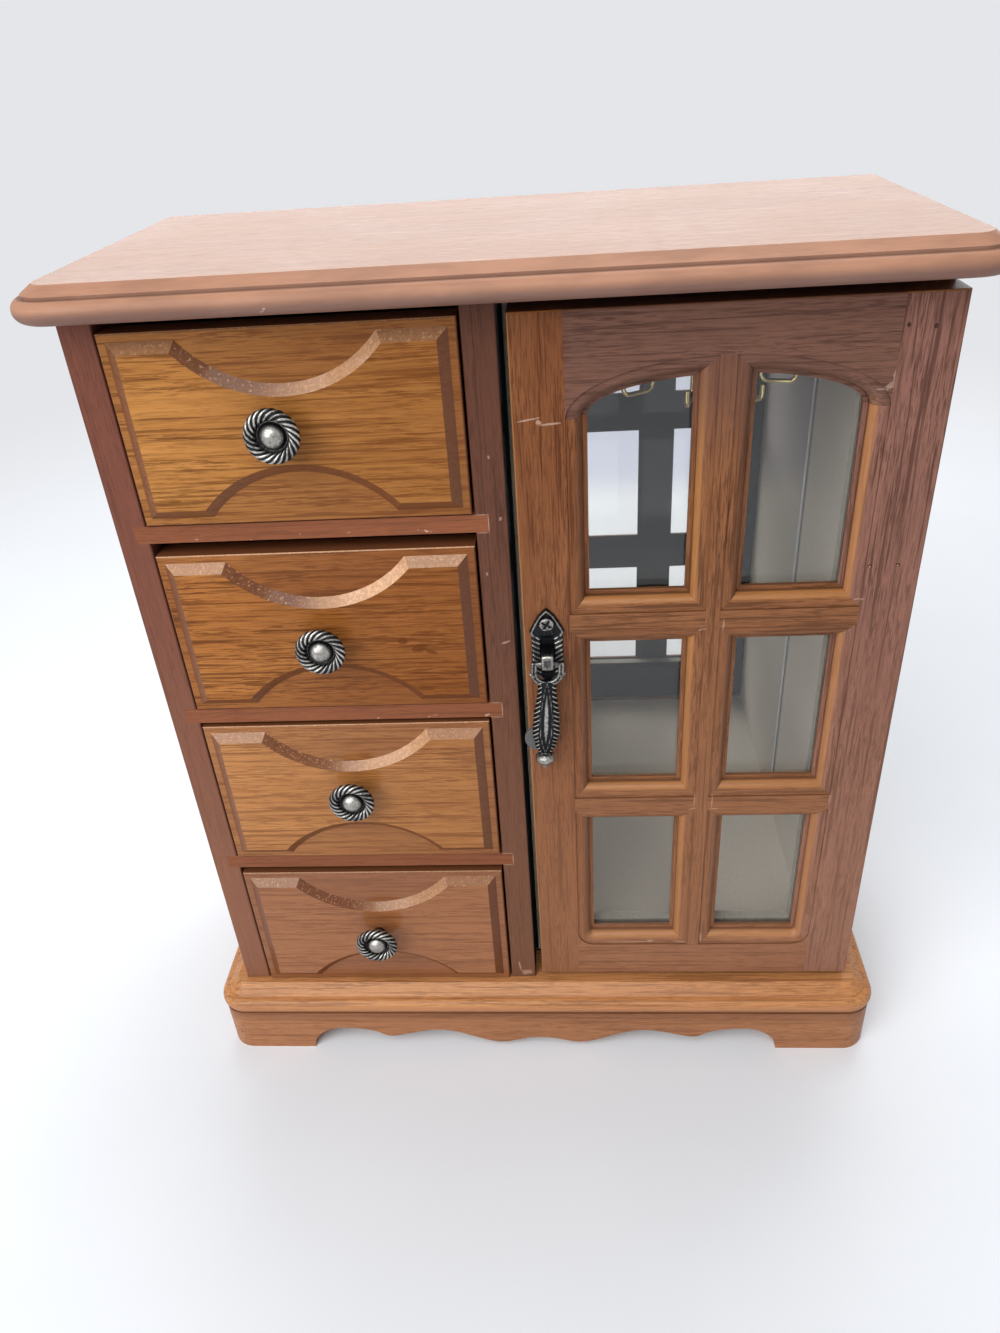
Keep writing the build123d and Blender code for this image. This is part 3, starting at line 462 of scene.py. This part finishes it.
def apron_shade(finish, colour, rough):
    """An apron is darker just under the base's overhang."""
    shade = finish.place.axes()[2].ramp(14 * MM, 21 * MM)
    return (shade * 0.45).blend(colour, rgb(0.16, 0.058, 0.025)), rough


def worn_at(spots, strength=0.8, tone=BARE_WOOD, ragged=0.5):
    """Change that shows bare pale wood, or another tone, at small marks."""

    def change(finish, colour, rough):
        share = finish.marks(spots, ragged) * strength
        return share.blend(colour, tone), rough + share * 0.15

    return change


def nicks(low, high, axis, density):
    """Change that scatters small pale nicks between two levels along one axis, in mm."""

    def change(finish, colour, rough):
        level = finish.place.axes()[axis]
        inside = level.ramp((low - 0.8) * MM, low * MM) * level.ramp((high + 0.8) * MM, high * MM)
        chips = finish.place.noise((210, 210, 330), 3.0, 0.65).ramp(density, density + 0.05)
        share = chips * inside * 0.75
        return share.blend(colour, BARE_WOOD), rough + share * 0.2

    return change


def top_wear(finish, colour, rough):
    """Fine scratches and a cloudy rub over the top board."""
    fine = finish.place.noise((30, 900, 30), 2.0, 0.6, 1.5).ramp(0.62, 0.70)
    cloud = finish.place.noise((22, 22, 22), 4.0, 0.6).ramp(0.35, 0.7)
    colour = (cloud * 0.3).blend(colour, rgb(0.42, 0.23, 0.14))
    return (fine * 0.25).blend(colour, rgb(0.62, 0.40, 0.28)), rough + cloud * 0.1 - 0.05


rail_ends = [(-6.9, z, 0.16, 3.0, 0) for z in (230.6, 163.5, 96.3)]
rail_ends += [(-8.9, z, 2.2, 0.14, 0) for z in (227.6, 233.4, 160.5, 166.3, 93.4, 99.1)]
divider_rub = [(-4.6, 34.6, 2.4, 1.5, 12), (-7.3, 38.5, 0.4, 3.0, 8), (-3.4, 232.0, 0.5, 0.7, 0)]
divider_rub += [(-5.6, 251.0, 0.35, 0.5, 0), (-4.2, 189.5, 1.6, 0.45, 20), (-8.5, 214.0, 0.4, 0.7, 0)]
stile_scratch = [(6.0, 261.2, 3.6, 0.28, 9), (12.3, 259.8, 3.4, 0.34, 4), (9.0, 260.4, 0.9, 0.7, 0)]
brad_holes = [(105.5, 282.0, 0.6, 0.7, 0), (112.4, 281.4, 0.6, 0.8, 0)]
brad_holes += [(105.2, 212.5, 0.7, 0.6, 0), (113.3, 212.6, 0.75, 0.7, 0)]
brad_heads = [(105.2, 212.3, 0.3, 0.3, 0), (113.2, 212.4, 0.3, 0.3, 0)]
arch_chips = [(103.3, 266.4, 1.5, 0.9, 30), (101.4, 265.2, 2.2, 0.3, 0), (103.9, 269.0, 0.4, 1.6, 0)]
bar_ends = [(57.8, 122.8, 0.2, 3.3, 0), (63.9, 122.6, 0.22, 3.4, 0), (103.9, 122.6, 0.2, 2.6, 0)]
bar_ends += [(57.3, 119.3, 1.6, 0.25, 12), (64.7, 119.2, 1.8, 0.28, -8), (57.2, 192.0, 1.4, 0.4, 20)]
bar_ends += [(103.6, 201.2, 1.7, 0.3, 10), (63.6, 193.5, 0.3, 2.4, 0), (37.0, 51.2, 12.0, 0.25, 1)]
bar_ends += [(44.0, 51.6, 1.3, 0.8, 0), (55.5, 51.2, 2.6, 0.4, -6), (63.3, 53.5, 0.5, 2.6, 0)]
knot = [(-31.5, 190.0, 3.0, 1.6, 18), (-36.5, 192.8, 1.8, 1.3, 0), (-27.8, 188.6, 2.2, 0.8, -14)]

CASE_GLOSS, DOOR_GLOSS = 0.5, 0.42
CASE_COAT, DOOR_COAT = 0.12, 0.12
BRAD_HOLE, BRAD_HEAD = rgb(0.03, 0.012, 0.008), rgb(0.5, 0.3, 0.16)

top_changes = [top_wear, nose_with_painted_shade, nicks(296, 302.5, 2, 0.735)]
case_nicks, base_nicks = nicks(32, 296, 2, 0.80), nicks(20, 33, 2, 0.77)
case_changes = [painted_light_low(0.35), case_nicks]
divider_changes = [painted_light_low(0.2), worn_at(divider_rub, 0.4, ragged=1.1), worn_at(rail_ends, 0.45)]
divider_changes += [case_nicks, divider_gap_shade]
rail_changes = [nicks(226.5, 229.0, 2, 0.63), nicks(159.5, 162.0, 2, 0.64), worn_at(rail_ends, 0.45)]
base_changes = [bead_painted_light, base_nicks]
apron_changes = [apron_shade, base_nicks]
upright_changes = [moulding_painted_light(0.52), painted_light_low(0.35), worn_at(brad_holes, 0.85, BRAD_HOLE, 0.3)]
upright_changes += [worn_at(brad_heads, 0.9, BRAD_HEAD, 0.2), worn_at(stile_scratch, 0.5)]
upright_changes += [worn_at(bar_ends, 0.35), black_back]
mullion_changes = [*upright_changes, painted_shade_top]
rail_wear = [painted_light_low(0.3), worn_at(arch_chips, 0.35), worn_at(bar_ends, 0.35), black_back]
arch_changes = [moulding_painted_light(0.15), *rail_wear]
level_changes = [moulding_painted_light(0.52), *rail_wear]

case_sides = ["left_side", "right_side"]
aprons = ["front_apron", "rear_apron"]
case_woods = (
    # name, grain, tones, pores, gloss, coat, changes, nodes
    ("top walnut", "X", top_tones, 0.22, CASE_GLOSS, 0.22, top_changes, ["top_board"]),
    ("case walnut upright", "Z", case_tones, 0.4, CASE_GLOSS, CASE_COAT, case_changes, case_sides),
    ("divider walnut", "Z", divider_shaded_tones, 0.5, CASE_GLOSS, 0.1, divider_changes, ["divider"]),
    ("case walnut level", "X", rail_tones, 0.4, CASE_GLOSS, CASE_COAT, rail_changes, ["drawer_rails"]),
    ("base walnut", "X", base_tones, 0.6, DOOR_GLOSS, 0.18, base_changes, ["base_board"]),
    ("apron walnut", "X", apron_tones, 0.5, DOOR_GLOSS, 0.15, apron_changes, aprons),
    ("apron walnut side", "Y", apron_tones, 0.5, DOOR_GLOSS, 0.15, apron_changes, ["side_aprons"]),
)
for name, grain, tones, pores, gloss, coat, changes, nodes in case_woods:
    coat_nodes(wood(name, grain, tones, pores, gloss, coat, changes), *nodes)

door_woods = (
    # name, grain, tones, pores, changes, node
    ("lock stile walnut", "Z", lock_tones, 0.95, upright_changes, "door_lock_stile"),
    ("hinge stile walnut", "Z", hinge_tones_with_sheen, 0.95, upright_changes, "door_hinge_stile"),
    ("mullion walnut", "Z", bar_tones, 0.9, mullion_changes, "door_mullion"),
    ("top rail walnut", "X", arch_tones_with_shade, 0.7, arch_changes, "door_top_rail"),
    ("bottom rail walnut", "X", foot_rail_tones, 0.85, level_changes, "door_bottom_rail"),
    ("muntin walnut", "X", bar_tones, 0.9, level_changes, "door_muntins"),
)
for name, grain, tones, pores, changes, node in door_woods:
    coat_nodes(wood(name, grain, tones, pores, DOOR_GLOSS, DOOR_COAT, changes), node)
inner_wood = wood("plain back board", "X", inner_tones, 0.3, 0.6, 0.0)
inner_run = wood("plain runner wood", "Y", inner_tones, 0.5, 0.6, 0.0)
coat_nodes(inner_wood, "back_panel")
coat_nodes(inner_run, "drawer_runners")
for number in DRAWERS:
    changes = [worn_at(knot, 0.75, front_tones[2][2], 0.6)] if number == 2 else []
    if number in front_right_shade:
        changes.append(shade_to_right(front_right_shade[number]))
    changes.append(routed_face(front_shine[number], front_painted_highlight[number]))
    tones, pores = front_tones[number], front_pores[number]
    face = wood(f"drawer walnut {number}", "X", tones, pores, DOOR_GLOSS, 0.1, changes, polish=0.13)
    coat_nodes(face, f"drawer_{number}_front")
    coat_nodes(inner_run, f"drawer_{number}_walls", f"drawer_{number}_bottom")


# Other finishes


def plain(name, colour, spread, scale, roughness, black=None, **constants):
    """One colour with a fine cloudy change in tone and in gloss, and black painted shade where asked for."""
    finish = Finish(name, **constants)
    cloud = finish.place.noise((scale, scale, scale), 3.0, 0.6).ramp(0.3, 0.7)
    darker = rgb(*(channel * (1 - spread) for channel in colour))
    tone = cloud.blend(darker, rgb(*colour))
    finish.feed("Base Color", black(finish).blend(tone, BLACK_PAINT_AND_SHADE) if black else tone)
    finish.feed("Roughness", roughness + cloud * 0.1)
    return finish


def lining_painted_shade(finish):
    """Share of painted shade on the lining: black on its front edges, in the gap beside the door, and a dark
    line at the joint between its walls and the mirror.
    """
    across, outward, up = finish.normal.axes()
    depth = finish.place.axes()[1]
    front = outward.ramp(-0.5, -0.8) * depth.ramp(-32 * MM, -33 * MM)
    joint = depth.ramp(51.0 * MM, 54.5 * MM) * abs(across).ramp(0.5, 0.8)
    return front.most(joint * 0.7)


def felt(name, black=None):
    finish = plain(name, (0.83, 0.75, 0.645), 0.15, 2500, 0.85, black, Specular_IOR_Level=0.1)
    finish.bump(finish.place.noise((4000, 4000, 4000), 2.0), 0.15 * MM, 0.6)
    return finish.material


def clear_glass():
    finish = Finish("sheet glass", Metallic=1.0, Roughness=0.02, Base_Color=rgb(0.985, 0.985, 0.98))
    clear = finish.place.node("BsdfTransparent", None, {"Color": rgb(0.985, 0.985, 0.98)})
    grazing = finish.place.node("LayerWeight", None, {"Blend": 0.5}, output=1)
    squared = grazing * grazing
    sheen = squared * squared * grazing * 0.9 + 0.035
    gloss = Shade(finish.shader.outputs[0])
    pane = finish.place.node("MixShader", None, {0: sheen, 1: clear, 2: gloss})
    output = finish.tree.nodes["Material Output"]
    finish.tree.links.new(pane.socket, output.inputs["Surface"])
    return finish.material


def mirror_glass():
    """Silvered sheet, a little dusty, with a cool grey painted reflection towards its top, and a pale ground
    edge at the right wall.
    """
    finish = Finish("silvered glass")
    dust = finish.place.noise((900, 900, 900), 2.0).ramp(0.74, 0.78)
    across, depth, up = finish.place.axes()
    ground = across.ramp(108.4 * MM, 108.7 * MM)
    # Painted reflection: cooler and darker towards the top, for the grey surroundings that the mirror shows.
    silver_with_reflection = up.ramp(190 * MM, 206 * MM).blend(rgb(0.84, 0.85, 0.845), rgb(0.64, 0.65, 0.73))
    finish.feed("Base Color", ground.blend(silver_with_reflection, rgb(0.86, 0.86, 0.86)))
    finish.feed("Metallic", 1.0 - ground)
    finish.feed("Roughness", 0.015 + dust * 0.25 + ground * 0.4)
    return finish.material


def pewter():
    finish = Finish("antique pewter", Metallic=1.0)
    worn = finish.place.node("Attribute", {"attribute_name": "worn"}, None, output=2)
    cloud = finish.place.noise((1300, 1300, 1300), 4.0, 0.7)
    bright = (worn * 0.95 + (cloud - 0.5) * 0.9).ramp(0.2, 0.95)
    finish.feed("Base Color", bright.blend(rgb(0.02, 0.021, 0.023), rgb(0.60, 0.57, 0.52)))
    finish.feed("Roughness", 0.5 - bright * 0.24)
    finish.bump(cloud, 0.1 * MM, 0.5)
    return finish.material


black_board = plain("black painted board", (0.014, 0.014, 0.015), 0.3, 300, 0.6).material
black_moulding = plain("black moulded plastic", (0.02, 0.02, 0.021), 0.3, 400, 0.35).material
brass_metal = plain("bright brass", (0.92, 0.72, 0.34), 0.15, 900, 0.14, Metallic=1.0).material
steel_metal = plain("plain steel", (0.5, 0.5, 0.5), 0.25, 700, 0.3, Metallic=1.0).material
pad_rubber = plain("grey pad", (0.12, 0.115, 0.11), 0.25, 800, 0.6).material
pewter_metal = pewter()
# The lining's black is painted shade.
coat_nodes(felt("grey lining felt", lining_painted_shade), "cupboard_lining")
coat_nodes(felt("grey drawer felt"), *[f"drawer_{n}_liner" for n in DRAWERS])
coat_nodes(clear_glass(), "door_glass")
coat_nodes(mirror_glass(), "mirror")
coat_nodes(black_board, "sub_top")
coat_nodes(wood("glazing strip wood", "Z", strip_tones_with_light, 0.3, 0.6, 0.0, [black_back]), "glazing_strips")
coat_nodes(black_moulding, "carousel_disc", "door_magnet")
coat_nodes(brass_metal, "carousel_hooks", "hinge_case_leaves", "hinge_door_leaves", "hinge_pins")
coat_nodes(brass_metal, "hinge_case_screws", "hinge_door_screws")
coat_nodes(steel_metal, "carousel_pivot", "door_strike_plate", *[f"drawer_{n}_knob_screw" for n in DRAWERS])
coat_nodes(pad_rubber, "pull_bumper")


# Cast hardware: skins over rings of points, each point with a share of how bright it is rubbed


def skin(rings):
    """Points, brightness and faces of a closed skin over rings, from the first ring to the last."""
    count = len(rings[0])
    points = [point[:3] for ring in rings for point in ring]
    worn = [point[3] for ring in rings for point in ring]
    faces = []
    for row in range(len(rings) - 1):
        low, high = row * count, (row + 1) * count
        for column in range(count):
            after = (column + 1) % count
            faces.append((low + column, low + after, high + after, high + column))
    faces.append(tuple(reversed(range(count))))
    faces.append(tuple((len(rings) - 1) * count + column for column in range(count)))
    return points, worn, faces


def cast(name, skins, body, node):
    """One piece of pewter from its skins, riding on a body and standing for a node."""
    points, worn, faces = [], [], []
    for skin_points, skin_worn, skin_faces in skins:
        start = len(points)
        points += skin_points
        worn += skin_worn
        faces += [tuple(start + corner for corner in face) for face in skin_faces]
    mesh = bpy.data.meshes.new(name)
    mesh.from_pydata(points, [], faces)
    work = bmesh.new()
    work.from_mesh(mesh)
    bmesh.ops.recalc_face_normals(work, faces=work.faces)
    work.to_mesh(mesh)
    work.free()
    layer = mesh.attributes.new("worn", "FLOAT", "POINT")
    layer.data.foreach_set("value", worn)
    mesh.polygons.foreach_set("use_smooth", [True] * len(mesh.polygons))
    mesh.materials.append(pewter_metal)
    piece = bpy.data.objects.new(name, mesh)
    bpy.context.scene.collection.objects.link(piece)
    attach(piece, body)
    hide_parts(node)
    return piece


def hump(value, middle, width):
    return math.exp(-(((value - middle) / width) ** 2))


def between(value, stations):
    """Eased value of a list of (place, value) stations."""
    for (start, first), (end, last) in zip(stations, stations[1:]):
        if value <= end:
            share = min(max((value - start) / (end - start), 0.0), 1.0)
            share = share * share * (3 - 2 * share)
            return first + (last - first) * share
    return stations[-1][1]


KNOB_STRANDS = 20
STRAND_STEPS = 10
ROPE_TWIST = 5.0
ROPE_DEPTH = 0.34
RIM_STEPS = 22
RIM_SHARE, RIM_SINK = 0.2125, 0.319
DOME_SHARE, DOME_SEAT = 0.46, 0.79
# Reach and level of the neck and back, then of the groove with its brightness, as shares of the radius
KNOB_BACK = ((0.28, 0.0), (0.28, 0.1), (0.25, 0.2), (0.25, 0.42), (0.45, 0.58), (0.68, 0.68))
KNOB_GROOVE = ((0.60, 0.85, 0.1), (0.585, 0.80, 0.0), (0.55, 0.79, 0.0))
KNOB_GROOVE += ((0.535, 0.83, 0.6), (0.51, 0.82, 0.2), (0.48, 0.79, 0.0))


def make_knob(number):
    """Cast knob: neck, flared back, rope-twist rim, dark groove with a fine ring, and a bright dome."""
    low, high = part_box(f"drawer_{number}_knob")
    middle = (low + high) / 2
    seat_y, length, radius = high.y, high.y - low.y, (high.x - low.x) / 2
    rim = RIM_SHARE * radius
    rim_middle, rim_level = radius - rim, length - RIM_SINK * radius
    count = KNOB_STRANDS * STRAND_STEPS
    rings = []

    def ring(profile):
        row = []
        for step in range(count):
            turn = TURN * step / count
            reach, level, bright = profile(turn)
            across, up = reach * math.cos(turn), reach * math.sin(turn)
            row.append((middle.x + across, seat_y - level, middle.z + up, bright))
        rings.append(row)

    for reach, level in KNOB_BACK:
        ring(lambda turn: (reach * radius, level * radius, 0.3))
    for step in range(RIM_STEPS + 1):
        around = math.radians(190 - 305 * step / RIM_STEPS)

        def rope(turn):
            crest = abs(math.cos((KNOB_STRANDS * turn + ROPE_TWIST * around) / 2)) ** 0.9
            reach = rim * (1 - ROPE_DEPTH * (1 - crest))
            rubbed = crest ** 2.6 * (0.82 + 0.18 * math.sin(3 * turn + number))
            return rim_middle + reach * math.sin(around), rim_level + reach * math.cos(around), rubbed

        ring(rope)
    for reach, level, bright in KNOB_GROOVE:
        ring(lambda turn: (reach * radius, level * radius, bright))
    dome_radius, dome_rise = DOME_SHARE * radius, length - DOME_SEAT * radius
    cap = (dome_radius ** 2 + dome_rise ** 2) / (2 * dome_rise)
    widest = math.asin(min(dome_radius / cap, 1.0))
    for step in range(10):
        lean = widest * (1 - step / 9.3)
        bright = 0.66 if step > 2 else 0.1 + 0.18 * step
        ring(lambda turn: (cap * math.sin(lean), length - cap + cap * math.cos(lean), bright))
    cast(f"knob_{number}", [skin(rings)], f"drawer_{number}", f"drawer_{number}_knob")


for number in DRAWERS:
    make_knob(number)


# Door pull: plate with feathered sides and a square post, slotted screw, and a leaf drop on a stirrup

drop_low, drop_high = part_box("pull_drop")
PIN_X = (drop_low.x + drop_high.x) / 2
PIN_Z = drop_high.z - 0.85 * MM
DOOR_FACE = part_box("pull_backplate")[1].y
PIN_OUT = (DOOR_FACE - (drop_low.y + drop_high.y) / 2) / MM
FEATHER_PITCH = 1.75
# Half width of the plate at levels from the pin, in mm
PLATE_EDGE = ((-11.0, 0.25), (-5.5, 5.0), (7.6, 5.05), (8.8, 5.65))
PLATE_EDGE += ((12.2, 4.0), (14.7, 2.5), (16.2, 1.0), (16.9, 0.2))
PLATE_ROWS, PLATE_COLUMNS = 150, 44
POST_MIDDLE, POST_STEPS = 1.4, 32
DROP_LEAN = 0.055


def at_pull(across, out, up, bright):
    """Point beside the pin: mm across, out from the door's face, and up from the pin."""
    return (PIN_X + across * MM, DOOR_FACE - out * MM, PIN_Z + up * MM, bright)


def edge_width(level):
    for (start, first), (end, last) in zip(PLATE_EDGE, PLATE_EDGE[1:]):
        if level <= end:
            return first + (last - first) * (level - start) / (end - start)
    return PLATE_EDGE[-1][1]


def plate_point(share, level):
    """Front of the plate: raised rim round the point, feathers down both sides, a dark hollow between."""
    half = edge_width(level)
    across = share * half
    inset = (1 - abs(share)) * half
    feather = 0.5 + 0.5 * math.cos(TURN * (level - 0.55 * abs(across)) / FEATHER_PITCH)
    body = between(level, ((-8.0, 0.0), (-6.0, 1.0), (6.6, 1.0), (7.8, 0.0)))
    side = between(abs(across), ((1.7, 0.0), (2.4, 1.0))) * body
    round_over = min(inset / 0.7, 1.0)
    thick = 0.35 + 0.85 * math.sqrt(round_over * (2 - round_over))
    rim = hump(inset, 0.75, 0.38) * (1 - body)
    hollow = body * (1 - side)
    out = thick + 0.45 * rim + side * 0.65 * feather - 0.35 * hollow
    bright = 0.22 + 0.4 * rim + side * (0.75 * feather ** 2 - 0.25) - 0.25 * hollow
    across *= 1 - 0.07 * side * (1 - feather)
    return at_pull(across, out, level, max(bright, 0.0))


def make_plate():
    lowest, highest = PLATE_EDGE[0][0], PLATE_EDGE[-1][0]
    rings = []
    for row in range(PLATE_ROWS + 1):
        level = lowest + (highest - lowest) * row / PLATE_ROWS
        half = edge_width(level)
        ring = [plate_point(2 * column / PLATE_COLUMNS - 1, level) for column in range(PLATE_COLUMNS + 1)]
        ring += [at_pull(share * half, 0.0, level, 0.0) for share in (0.98, 0.0, -0.98)]
        rings.append(ring)
    sections = ((1.2, 1.0, 0.2), (4.0, 0.96, 0.3), (7.2, 0.96, 0.4), (7.8, 0.92, 0.7), (8.15, 0.76, 0.6))
    sections += ((8.2, 0.5, 0.45), (8.1, 0.3, 0.35), (8.1, 0.05, 0.4))
    post = []
    for out, scale, bright in sections:
        ring = []
        for step in range(POST_STEPS):
            turn = TURN * step / POST_STEPS
            corner = max(abs(math.cos(turn)), abs(math.sin(turn))) ** 0.8
            across, up = 2.0 * math.cos(turn) / corner, 2.8 * math.sin(turn) / corner
            lit = bright if out > 7.0 else bright * (1 - max(math.sin(turn), 0.0))
            ring.append(at_pull(across * scale, out, POST_MIDDLE + up * scale, lit))
        post.append(ring)
    cast("pull_plate", [skin(rings), skin(post)], "door", "pull_backplate")


def make_screw():
    """Round head with a cross slot."""
    low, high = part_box("pull_screw")
    up = ((low.z + high.z) / 2 - PIN_Z) / MM
    head, face = (high.x - low.x) / 2 / MM, 1.6
    steps = ((1.0, -0.5), (1.0, 0.25), (0.93, 0.55), (0.8, 0.75), (0.66, 0.84), (0.52, 0.88), (0.4, 0.9))
    steps += ((0.3, 0.9), (0.2, 0.9), (0.1, 0.9), (0.03, 0.9))
    rings = []
    for reach, rise in steps:
        ring = []
        for step in range(64):
            turn = TURN * step / 64 + 0.5
            across, along_up = reach * head * math.cos(turn), reach * head * math.sin(turn)
            slot = min(abs(across * 0.87 - along_up * 0.5), abs(across * 0.5 + along_up * 0.87)) < 0.36
            slot = slot and reach < 0.75
            bright = 0.05 if slot else between(reach, ((0.5, 0.45), (0.85, 0.7), (1.0, 0.1)))
            ring.append(at_pull(across, face + rise - (0.55 if slot else 0.0), up + along_up, bright))
        rings.append(ring)
    cast("pull_slotted_screw", [skin(rings)], "door", "pull_screw")


def at_drop(across, out, up, bright):
    """Point on the drop, which hangs a little to one side."""
    return at_pull(across + DROP_LEAN * up, PIN_OUT + out, up, bright)


def tube(path, radius, front_groove=0.0, bright=0.7, steps=18):
    """Skin along a path of (across, up, scale), with a groove along its front if asked for."""
    rings = []
    for index, (across, up, scale) in enumerate(path):
        before, after = path[max(index - 1, 0)], path[min(index + 1, len(path) - 1)]
        run_across, run_up = after[0] - before[0], after[1] - before[1]
        length = math.hypot(run_across, run_up)
        side_across, side_up = run_up / length, -run_across / length
        ring = []
        for step in range(steps):
            turn = TURN * step / steps
            dent = front_groove * hump(turn, math.pi / 2, 0.42)
            reach = radius * scale * (1 - dent)
            aside, out = reach * math.cos(turn), reach * math.sin(turn)
            lit = bright * (0.25 + 0.75 * max(math.sin(turn), 0.0)) * (1 - 1.8 * dent)
            ring.append(at_drop(across + side_across * aside, out, up + side_up * aside, max(lit, 0.0)))
        rings.append(ring)
    return skin(rings)


LEAF_TOP = -6.75
LEAF_LENGTH = 28.3
LEAF_WIDTH = ((0.0, 2.9), (0.1, 3.0), (0.5, 4.2), (0.7, 4.45), (0.88, 3.5), (1.0, 2.1))
LEAF_DEPTH = ((0.0, 1.4), (0.5, 1.9), (0.73, 2.0), (1.0, 1.5))
ROPE_PITCH = 1.7
LEAF_ROWS, LEAF_COLUMNS = 230, 60
STIRRUP_HALF, STIRRUP_DROP, BEND_STEPS = 4.3, 3.3, 24
KNOP_STEPS = 40


def leaf_point(share, turn):
    """Leaf of the drop: slanting ropes along both edges and a double-lined almond down the middle."""
    half, deep = between(share, LEAF_WIDTH), between(share, LEAF_DEPTH)
    aside, front = math.cos(turn), math.sin(turn)
    rope = 0.5 + 0.5 * math.cos(TURN * (share * LEAF_LENGTH - 0.85 * abs(aside) * half) / ROPE_PITCH)
    edge = between(abs(aside), ((0.5, 0.0), (0.6, 1.0)))
    almond = 0.46 * math.sin(math.pi * min(max((share - 0.02) / 0.94, 0.0), 1.0)) ** 0.55
    line = hump(abs(aside), almond, 0.055)
    heart = between(abs(aside), ((almond - 0.34, 1.0), (almond - 0.22, 0.0))) if almond > 0.25 else 0.0
    out = deep * front
    bright = 0.2
    if front > -0.2:
        swell = edge * (rope - 0.6)
        out += 0.55 * swell + 0.32 * line + 0.1 * heart - 0.25 * (1 - edge) * (1 - line)
        bright = edge * rope ** 4 * 0.9 + 0.6 * line + 0.65 * heart
    reach = half * aside * (1 + 0.07 * edge * (rope - 0.6))
    return at_drop(reach, out, LEAF_TOP - share * LEAF_LENGTH, min(max(bright, 0.0), 1.0))


def make_drop():
    skins = []
    legs = ((0.4, 0.75), (0.0, 1.0), (-1.6, 1.0), (-STIRRUP_DROP, 1.0))
    stirrup = [(-STIRRUP_HALF, up, scale) for up, scale in legs]
    for step in range(1, BEND_STEPS):
        turn = math.pi * step / BEND_STEPS
        stirrup.append((-STIRRUP_HALF * math.cos(turn), -STIRRUP_DROP - STIRRUP_HALF * math.sin(turn), 1.0))
    stirrup += [(STIRRUP_HALF, up, scale) for up, scale in reversed(legs)]
    skins.append(tube(stirrup, 1.0, 0.45, 0.75))
    spur = ((3.9, -4.6, 1.0), (4.9, -4.4, 0.8), (5.45, -3.9, 0.5), (5.6, -3.5, 0.2))
    for side in (-1, 1):
        skins.append(tube([(across * side, up, scale) for across, up, scale in spur], 0.75, 0.0, 0.6))
    pin = [(across, 0.0, 1.0) for across in (-STIRRUP_HALF, 0.0, STIRRUP_HALF)]
    skins.append(tube(pin, 0.78, 0.0, 0.5))
    rings = []
    turns = [TURN * column / LEAF_COLUMNS for column in range(LEAF_COLUMNS)]
    for row in range(LEAF_ROWS + 1):
        rings.append([leaf_point(row / LEAF_ROWS, turn) for turn in turns])
    skins.append(skin(rings))
    knop = ((-34.4, 2.1, 0.3), (-35.0, 1.75, 0.1), (-35.4, 2.0, 0.4), (-35.7, 2.7, 0.6), (-36.3, 3.2, 0.6))
    knop += ((-37.1, 3.3, 0.65), (-37.9, 3.1, 0.55), (-38.6, 2.4, 0.3), (-39.0, 1.4, 0.05), (-39.4, 1.5, 0.4))
    knop += ((-40.0, 1.5, 0.8), (-40.6, 1.0, 0.7), (-40.9, 0.25, 0.5))
    rings = []
    turns = [TURN * step / KNOP_STEPS for step in range(KNOP_STEPS)]
    for up, reach, bright in knop:
        rings.append([at_drop(reach * math.cos(turn), reach * math.sin(turn), up, bright) for turn in turns])
    skins.append(skin(rings))
    cast("pull_leaf_drop", skins, "door_pull", "pull_drop")


make_plate()
make_screw()
make_drop()
